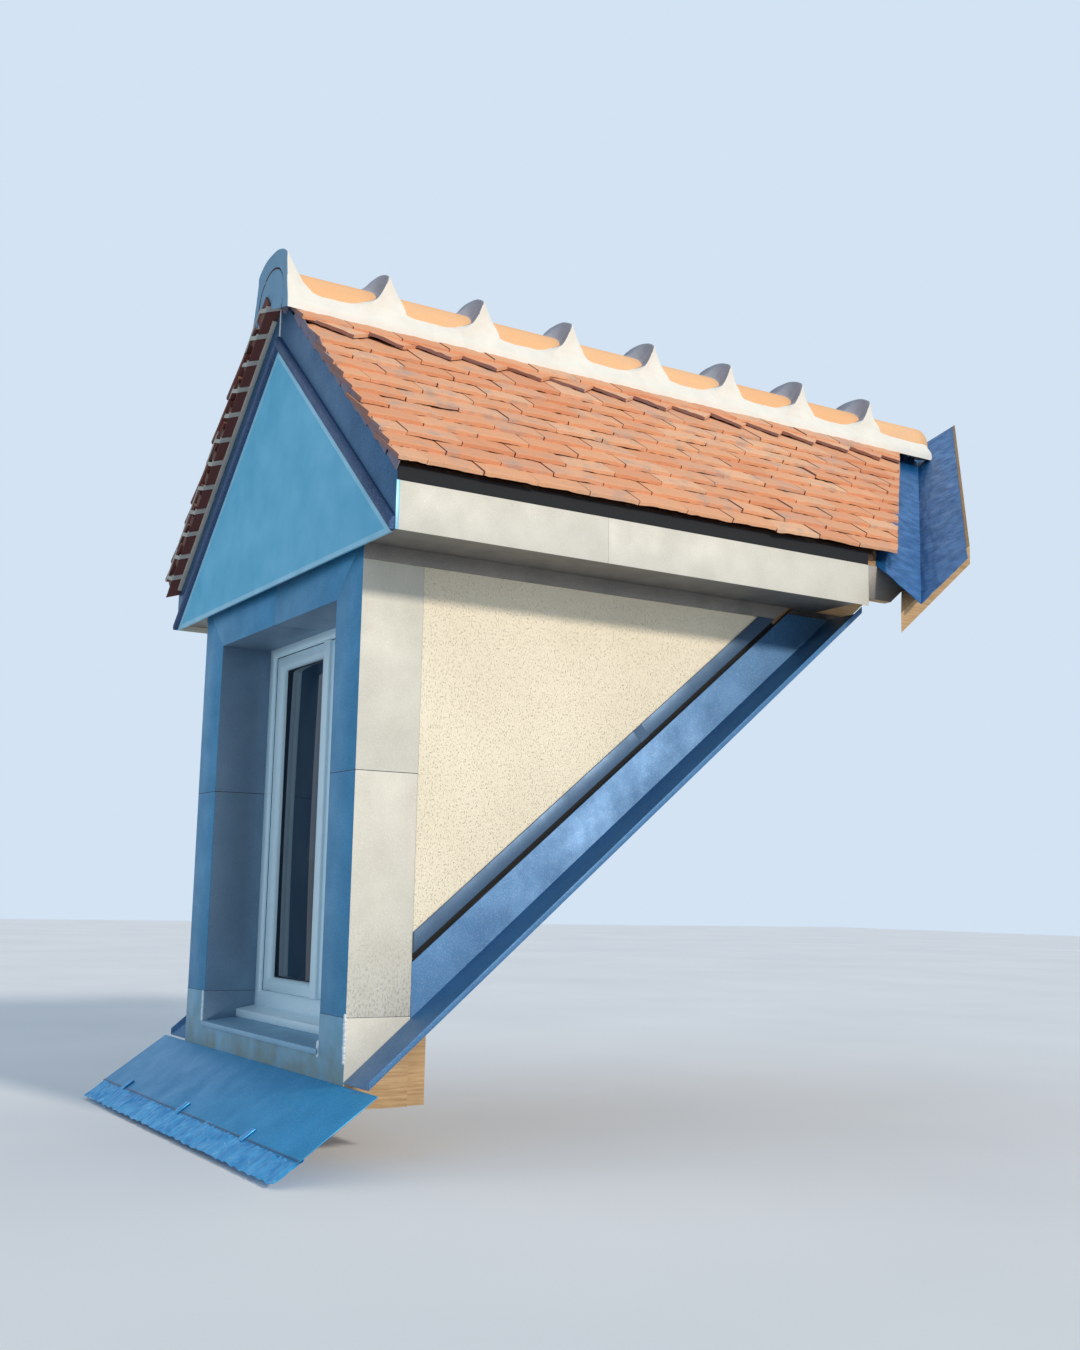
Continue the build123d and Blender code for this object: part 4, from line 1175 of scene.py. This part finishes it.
class DORMER_OT_verge(bpy.types.Operator):
    """Point the left verge with its bands and close the eaves with a black strip painted as shadow"""
    bl_idname = "dormer.verge"
    bl_label = "Verge and eaves shadow felt"

    def execute(self, context):
        self.undercloak()
        self.slips(context.scene.dormer_tiles)
        self.felt()
        return {"FINISHED"}

    def undercloak(self):
        """Brown slips under the left verge, painted dark as the shaded undersides of the tiles, the pale
        joints between them and the bead on the bargeboard.
        """
        axes = slope_axes(-1)
        barge = -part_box("bargeboard_left")[0].y
        front = -TILES_LEFT_LOW.y - 5 * MM
        pitch = 97 * MM
        half = 8 * MM
        reach = front - barge
        lean = reach * math.tan(math.radians(24))
        rng = random.Random(5)
        slips = []
        joints = []
        distance = 0
        while distance < TILE_SLOPE - pitch / 2:
            start = distance + rng.uniform(-3, 3) * MM
            for pieces, low, high in ((slips, (half, 0, -3.5 * MM), (pitch - half, reach, -0.5 * MM)),
                                      (joints, (-half, 0, -9 * MM), (half, reach + 3 * MM, 4 * MM))):
                piece = block("slip", low, high)
                edit(piece)
                choose_points(lambda spot: spot.y > 1 * MM)
                bpy.ops.transform.translate(value=(lean, 0, 0))
                subdivide(3)
                leave_edit()
                pieces.append(moved(piece, axes, (start, barge, 0)))
            upright = block("slip", (-half, front, -9 * MM), (half, front + 5 * MM, 44 * MM))
            edit(upright)
            choose_points(lambda spot: spot.z > 0)
            bpy.ops.transform.translate(value=(34 * MM, 0, 0))
            leave_edit()
            joints.append(moved(upright, axes, (start + lean, 0, 0)))
            distance += pitch
        stub = block("stub", (0, front - 80 * MM, 1 * MM), (90 * MM, front - 1 * MM, 44 * MM))
        slips = join("verge_undercloak", slips + [moved(stub, axes)])
        crinkle(slips, 0.04, 0.0015, "Slip warp")
        dress(slips, "tile back", "roof_tile")
        bead = block("strip", (50 * MM, barge - 1 * MM, -10 * MM),
                     (TILE_SLOPE - 12 * MM, barge + 13 * MM, 8 * MM))
        outer = block("strip", (40 * MM, front + 1 * MM, 39 * MM),
                      (TILE_SLOPE - 6 * MM, front + 5 * MM, 45 * MM))
        lengths = 40
        for strip in (bead, outer):
            edit(strip)
            for step in range(1, lengths):
                cut((step * TILE_SLOPE / lengths, 0, 0), (1, 0, 0))
            leave_edit()
            joints.append(moved(strip, axes))
        joints = join("verge_bands", joints)
        soften(joints, 1.5 * MM)
        crinkle(joints, 0.05, 0.002, "Band wobble")
        dress(joints, "verge mortar", "mortar")

    def slips(self, tiles):
        """Slips that hang out under the right verge, one for each course, their clay painted grey-purple as
        shade.
        """
        axes = slope_axes(1) @ Matrix.Diagonal((1, -1, 1, 1))
        front = -TILES_LOW.y
        rng = random.Random(8)
        slips = []
        for course in range(2, COURSE_COUNT + 1):
            slip = block("slip", (-78 * MM, -3 * MM, -8 * MM), (0, 0, 20 * MM))
            turn = Matrix.Rotation(math.radians(rng.uniform(4, 9)), 4, "Y")
            tail = course_tail(course, tiles) - 6 * MM + rng.uniform(-4, 4) * MM
            place = Matrix.Translation((tail, front - 3.5 * MM, 24 * MM))
            slips.append(moved(slip, axes @ place @ turn))
        for low, high in ((-2, 34), (30, 62)):
            stub = block("stub", (low * MM, front - 60 * MM, 1 * MM), (high * MM, front + 1 * MM, 44 * MM))
            slips.append(moved(stub, axes))
        slips = join("verge_slips_right", slips)
        face_outward(slips)
        dress(soften(slips, 0.8 * MM), "undercloak", "roof_tile")

    def felt(self):
        """A black strip between the fascias' top edge and the tiles, painted as the shadow there."""
        edge = BOARDS_HIGH.x
        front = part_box("gable_board")[0].y
        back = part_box("fascias_rear")[1].y
        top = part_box("fascias_front")[1].z
        felts = []
        for sign in (-1, 1):
            felts.append(side_block("felt", sign, edge - 0.5 * MM, edge + 1.6 * MM, (front, top - 2 * MM),
                                    (back, top + 40 * MM)))
        dress(soften(join("eaves_shadow_felt", felts), 0.5 * MM), "felt", "zinc")


# Ridge
def pieces_from(start, pitch):
    """How many tiles or crests there are from there to the ridge's end."""
    return math.ceil((RIDGE_HIGH.y - start - RIDGE_SHORTEST) / pitch)


class DORMER_OT_ridge(bpy.types.Operator):
    """Set the half-round ridge tiles and their crested mortar"""
    bl_idname = "dormer.ridge"
    bl_label = "Ridge"

    def execute(self, context):
        ridge = context.scene.dormer_ridge
        self.tiles(ridge)
        self.mortar(ridge)
        return {"FINISHED"}

    def tiles(self, ridge):
        """Half-round tiles end to end, each a little different in tone."""
        centre = RIDGE_LOW.z
        start = RIDGE_START + 12 * MM
        length = ridge.pitch - 6 * MM
        deselect()
        bpy.ops.mesh.primitive_cylinder_add(vertices=64, radius=ridge.radius, depth=length,
                                            end_fill_type="NOTHING", rotation=(math.pi / 2, 0, 0),
                                            location=(0, start + length / 2, centre))
        model = place_mesh(bpy.context.active_object)
        edit(model)
        cut((0, 0, centre), (0, 0, -1), True)
        for share in (0.25, 0.5, 0.75):
            cut((0, start + share * length, 0), (0, 1, 0))
        leave_edit()
        modify(model, "SOLIDIFY", thickness=ridge.wall, offset=-1)
        soften(model, 2.5 * MM, 2, 50)
        rng = random.Random(3)
        row = []
        for index in range(pieces_from(start, ridge.pitch)):
            tile = copy_of(model, Matrix.Translation((0, index * ridge.pitch, 0)))
            give_tone(tile, rng.random())
            row.append(tile)
        bpy.data.objects.remove(model)
        row = join("ridge_clay_tiles", row)
        edit(row)
        cut((0, RIDGE_HIGH.y, 0), (0, 1, 0), True, True)
        cut((0, RIDGE_LOW.y, 0), (0, -1, 0), True, True)
        leave_edit()
        crinkle(row, 0.05, 0.0025, "Ridge clay wobble")
        dress(row, "ridge clay", "ridge_tile", "ridge_tiles")

    def mortar(self, ridge):
        """The bedding and its crests, drawn up wet with a trowel and left with its marks."""
        angles = [math.radians(2.5 * step) for step in range(-42, 43)]
        rows = self.crest_rows(ridge)
        deselect()
        bpy.ops.mesh.primitive_grid_add(x_subdivisions=len(angles) + 1, y_subdivisions=len(rows) - 1, size=1)
        mortar = bpy.context.active_object
        mortar.name = "crested_mortar"
        across = len(angles) + 1
        for point in mortar.data.vertices:
            column = round((point.co.x + 0.5) * across)
            row = rows[round((point.co.y + 0.5) * (len(rows) - 1))]
            angle = angles[min(max(column - 1, 0), len(angles) - 1)]
            y, reach = row(abs(angle))
            point.co = (reach * math.sin(angle), y, RIDGE_LOW.z + reach * math.cos(angle))
            if column in (0, across):
                point.co.z -= 25 * MM
        modify(mortar, "SUBSURF", levels=1, render_levels=1)
        face_outward(mortar)
        crinkle(mortar, 0.06, ridge.roughness, "Trowel sweeps")
        crinkle(mortar, 0.018, ridge.roughness * 0.3, "Mortar grit")
        work_on(mortar)
        bpy.ops.object.shade_smooth()
        paint(mortar, "mortar", "end mortar", "hollow mortar", "groove shade mortar")

        # Faces turned to the front in each crest's hollow are painted grey: painted shade.
        def in_hollow(centre, normal):
            turned = math.atan2(abs(centre.x), centre.z - RIDGE_LOW.z)
            return normal.y < -0.2 and turned < math.radians(73)

        paint_faces(mortar, 2, in_hollow)
        # The end's front face is painted blue-grey: painted shade.
        paint_faces(mortar, 1, lambda centre, normal: normal.y < -0.5 and centre.y < RIDGE_START + 16 * MM)

        # The groove round the end is painted dark brown-grey: painted shade in the recess.
        def in_groove(centre, normal):
            reach = math.hypot(centre.x, centre.z - RIDGE_LOW.z)
            return centre.y < RIDGE_START + 12 * MM and 100.5 * MM < reach < 106.5 * MM

        paint_faces(mortar, 3, in_groove)
        fit(mortar, "mortar", "ridge_mortar")

    def crest_rows(self, ridge):
        """Rows of the mortar's surface from front to back; each gives y and reach at an angle."""
        start = RIDGE_START
        hidden = ridge.radius - 3.5 * MM

        def bed(angle):
            """Reach of the flat bed: it shows only low down, beside the tile."""
            run = BED_FOOT - BED_TOP
            below = math.sin(angle) * run.y - math.cos(angle) * run.x
            if angle < math.radians(70):
                return hidden
            return max(hidden, (BED_TOP.x * run.y - BED_TOP.y * run.x) / below)

        def head(angle, half, rise, square, flare):
            """Reach of an upright arch with nearly straight flanks that may flare at the foot."""
            low = 0
            high = 260 * MM
            for _ in range(24):
                middle = (low + high) / 2
                x = middle * math.sin(angle)
                z = middle * math.cos(angle)
                side = half + flare * max(0, FLARE_TOP - z)
                inside = x < side and (z < 0 or z < rise - square * (x / half) ** 2.5)
                low, high = (middle, high) if inside else (low, middle)
            return low

        def crest(angle):
            return max(bed(angle), head(angle, CREST_HALF, CREST_RISE, 33 * MM, 0.02))

        def edge(angle):
            """The rim: upright over the tile, and swept forward down the sides."""
            low = max(0, math.degrees(angle) - 45)
            return -min(66, 1.3 * low + 5.6e-6 * low ** 4) * MM

        def foot_front(angle):
            away = max(0, (abs(math.degrees(angle) - 48) - 14) / 20)
            ramp = min(1, max(0, math.degrees(angle) - 64) / 20)
            return min((-27 - min(38, 40 * away ** 1.5)) * MM, edge(angle) - (12 + 55 * ramp) * MM)

        def foot_back(angle):
            return (72 + min(60, 53 * max(0, (math.degrees(angle) - 45) / 39) ** 2.2)) * MM

        def end_head(angle):
            return head(angle, CREST_HALF, END_RISE, 38 * MM, 0.2)

        def end_edge(angle):
            return start + 2 * MM * max(0, math.cos(angle))

        def on_front(middle, share):
            def row(angle):
                near = middle + foot_front(angle)
                far = middle + edge(angle)
                base = bed(angle)
                return near + (far - near) * share, base + (crest(angle) - base) * share ** 1.5
            return row

        def on_back(middle, share, peak, rim):
            def row(angle):
                near = rim(angle) + RIM
                far = middle + foot_back(angle)
                base = bed(angle)
                bow = 1.05 + 0.25 * (math.degrees(angle) / 70) ** 2
                return far - (far - near) * share, base + (peak(angle) - base) * share ** bow
            return row

        def between(first, second, share):
            def row(angle):
                near = first + foot_back(angle)
                far = second + foot_front(angle)
                return near + (far - near) * share, bed(angle)
            return row

        front = ((2, 2), (2, 60), (2, 99), (3, 101.5), (9, 102.5), (9, 104.5), (1, 106), (0, 110))
        rows = [lambda angle, back=back, reach=reach: (end_edge(angle) + back * MM, reach * MM)
                for back, reach in front]
        rows += [lambda angle: (end_edge(angle), (110 * MM + end_head(angle)) / 2),
                 lambda angle: (end_edge(angle), end_head(angle) - 5 * MM),
                 lambda angle: (end_edge(angle) + 1 * MM, end_head(angle))]
        falls = (1, 0.97, 0.88, 0.77, 0.65, 0.53, 0.41, 0.29, 0.17, 0.07, 0)
        for share in falls:
            rows.append(on_back(start, share, end_head, end_edge))
        for index in range(1, pieces_from(start, ridge.pitch)):
            middle = start + index * ridge.pitch
            for share in (0.2, 0.4, 0.6, 0.8):
                rows.append(between(middle - ridge.pitch, middle, share))
            for share in (0, 0.2, 0.4, 0.58, 0.74, 0.87, 0.96, 1):
                rows.append(on_front(middle, share))
            for share in falls:
                rows.append(on_back(middle, share, crest, lambda angle, middle=middle: middle + edge(angle)))
        last = RIDGE_HIGH.y
        rows.append(lambda angle: (last - 30 * MM, bed(angle)))
        rows.append(lambda angle: (last - 3 * MM, bed(angle)))
        rows.append(lambda angle: (last - 2 * MM, bed(angle) - 4 * MM))
        rows.append(lambda angle: (last - 2 * MM, 2 * MM))
        return rows


# Valleys
class DORMER_OT_valleys(bpy.types.Operator):
    """Dress the zinc valleys behind the roof"""
    bl_idname = "dormer.valleys"
    bl_label = "Valleys"

    def execute(self, context):
        self.wings("left", -1)
        self.wings("right", 1)
        return {"FINISHED"}

    def wings(self, side, sign):
        """Two wings that meet along the fold, beaten into place."""
        node = f"valley_flashing_{side}"
        low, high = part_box(node)
        rise = math.tan(ROOF_PITCH)
        main = math.tan(MAIN_PITCH)
        deck_end = BOARDS_HIGH.x
        out = max(abs(low.x), abs(high.x)) - 1 * MM
        top = high.y - VALLEY_BACK
        fold_top = high.z - VALLEY_BACK * main - 2 * MM

        def fold(x):
            return top - rise * x / main

        def on_main(y):
            return fold_top + (y - top) * main

        def on_deck(x):
            return fold_top - rise * x

        def fold_spot(x):
            return x, fold(x), on_deck(x)

        def main_spot(x):
            return x, fold(x) + VALLEY_BACK, on_main(fold(x) + VALLEY_BACK)

        def deck_spot(x):
            return x, fold(x) - VALLEY_FRONT, on_deck(x)

        corners = ((fold_spot(0), fold_spot(out), main_spot(out), main_spot(0)),
                   (deck_spot(0), deck_spot(deck_end), fold_spot(out), fold_spot(0)))
        wings = []
        for spots in corners:
            deselect()
            bpy.ops.mesh.primitive_plane_add(size=1)
            wing = bpy.context.active_object
            order = (0, 1, 3, 2)
            for place, spot in zip(order, spots):
                wing.data.vertices[place].co = (sign * spot[0], spot[1], spot[2])
            edit(wing)
            subdivide(40)
            leave_edit()
            wings.append(wing)
        sheet = join(f"valley_sheet_{side}", wings)
        edit(sheet)
        bpy.ops.mesh.select_all(action="SELECT")
        bpy.ops.mesh.remove_doubles(threshold=0.3 * MM)
        leave_edit()
        face_outward(sheet)
        crinkle(sheet, 0.07, 0.006, f"Valley dents {side}")
        crinkle(sheet, 0.03, 0.003, f"Valley blows {side}")
        modify(sheet, "SOLIDIFY", thickness=1.5 * MM, offset=0)
        soften(sheet, 0)
        dress(sheet, "valley zinc", "zinc", node)


# Stage
class DORMER_OT_stage(bpy.types.Operator):
    """Set up the pale floor, the lamp, the light from all sides and the camera"""
    bl_idname = "dormer.stage"
    bl_label = "Stage"

    def execute(self, context):
        stage = context.scene.dormer_stage
        scene = context.scene
        low = Vector(CAD_BOX[0])
        deselect()
        bpy.ops.mesh.primitive_plane_add(size=60, location=(0, 0, low.z - 1 * MM))
        floor = bpy.context.active_object
        floor.name = "studio_floor"
        paint(place_mesh(floor), "floor")
        self.world(scene, stage)
        lamp = bpy.data.lights.new("Key", "SUN")
        lamp.energy = stage.key
        lamp.color = linear("#FFF5E8")[:3]
        lamp.angle = math.radians(6)
        key = bpy.data.objects.new("Key", lamp)
        scene.collection.objects.link(key)
        shine = Vector((-0.93, -0.2, -0.44))
        key.rotation_euler = shine.to_track_quat("-Z", "Y").to_euler()
        lens = bpy.data.cameras.new("Camera")
        lens.sensor_fit = "VERTICAL"
        lens.sensor_height = 36
        lens.lens = 38.99
        lens.clip_end = 200
        camera = bpy.data.objects.new("Camera", lens)
        scene.collection.objects.link(camera)
        place = Vector((4.0855, -1.6672, 0.5302))
        right = Vector((0.52092685, 0.85337295, 0.01974421))
        up = Vector((0.11925162, -0.0956598, 0.98824504))
        behind = Vector((0.84523031, -0.51244884, -0.15159787))
        turn = Matrix((right, up, behind)).transposed().to_4x4()
        camera.matrix_world = Matrix.Translation(place) @ turn
        scene.camera = camera
        scene.view_settings.view_transform = "Standard"
        return {"FINISHED"}

    def world(self, scene, stage):
        """Even light from all sides, and a pale backdrop for the camera and in reflections."""
        world = bpy.data.worlds.new("Studio")
        scene.world = world
        world.use_nodes = True
        tree = world.node_tree
        tree.nodes.clear()
        light = add(tree, "ShaderNodeBackground", {"Color": linear("#D2E4F7"), "Strength": stage.fill})
        backdrop = add(tree, "ShaderNodeBackground", {"Color": linear("#D3E3F3"), "Strength": 1.0})
        path = add(tree, "ShaderNodeLightPath")
        seen = times(tree, path.outputs["Is Camera Ray"], path.outputs["Is Glossy Ray"], "MAXIMUM")
        seen = times(tree, seen, path.outputs["Is Transmission Ray"], "MAXIMUM")
        both = add(tree, "ShaderNodeMixShader", {0: seen, 1: light.outputs[0], 2: backdrop.outputs[0]})
        add(tree, "ShaderNodeOutputWorld", {"Surface": both.outputs[0]})


OPERATORS = [DORMER_OT_timber, DORMER_OT_front, DORMER_OT_apron, DORMER_OT_window, DORMER_OT_cheeks,
             DORMER_OT_eaves, DORMER_OT_tiles, DORMER_OT_verge, DORMER_OT_ridge, DORMER_OT_valleys,
             DORMER_OT_stage]


class DORMER_PT_panel(bpy.types.Panel):
    """The dormer's settings and steps"""
    bl_idname = "DORMER_PT_panel"
    bl_label = "Dormer window"
    bl_space_type = "VIEW_3D"
    bl_region_type = "UI"
    bl_category = "Dormer"

    def draw(self, context):
        for name, group in SETTINGS.items():
            box = self.layout.box()
            for setting in group.__annotations__:
                box.prop(getattr(context.scene, name), setting)
        for operator in OPERATORS:
            self.layout.operator(operator.bl_idname)


def register():
    for name, group in SETTINGS.items():
        bpy.utils.register_class(group)
        setattr(bpy.types.Scene, name, PointerProperty(type=group))
    for operator in OPERATORS:
        bpy.utils.register_class(operator)
    bpy.utils.register_class(DORMER_PT_panel)


def unregister():
    bpy.utils.unregister_class(DORMER_PT_panel)
    for operator in reversed(OPERATORS):
        bpy.utils.unregister_class(operator)
    for name, group in SETTINGS.items():
        delattr(bpy.types.Scene, name)
        bpy.utils.unregister_class(group)


def main():
    register()
    for operator in OPERATORS:
        group, step = operator.bl_idname.split(".")
        getattr(getattr(bpy.ops, group), step)()
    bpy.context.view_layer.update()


if __name__ == "__main__":
    main()
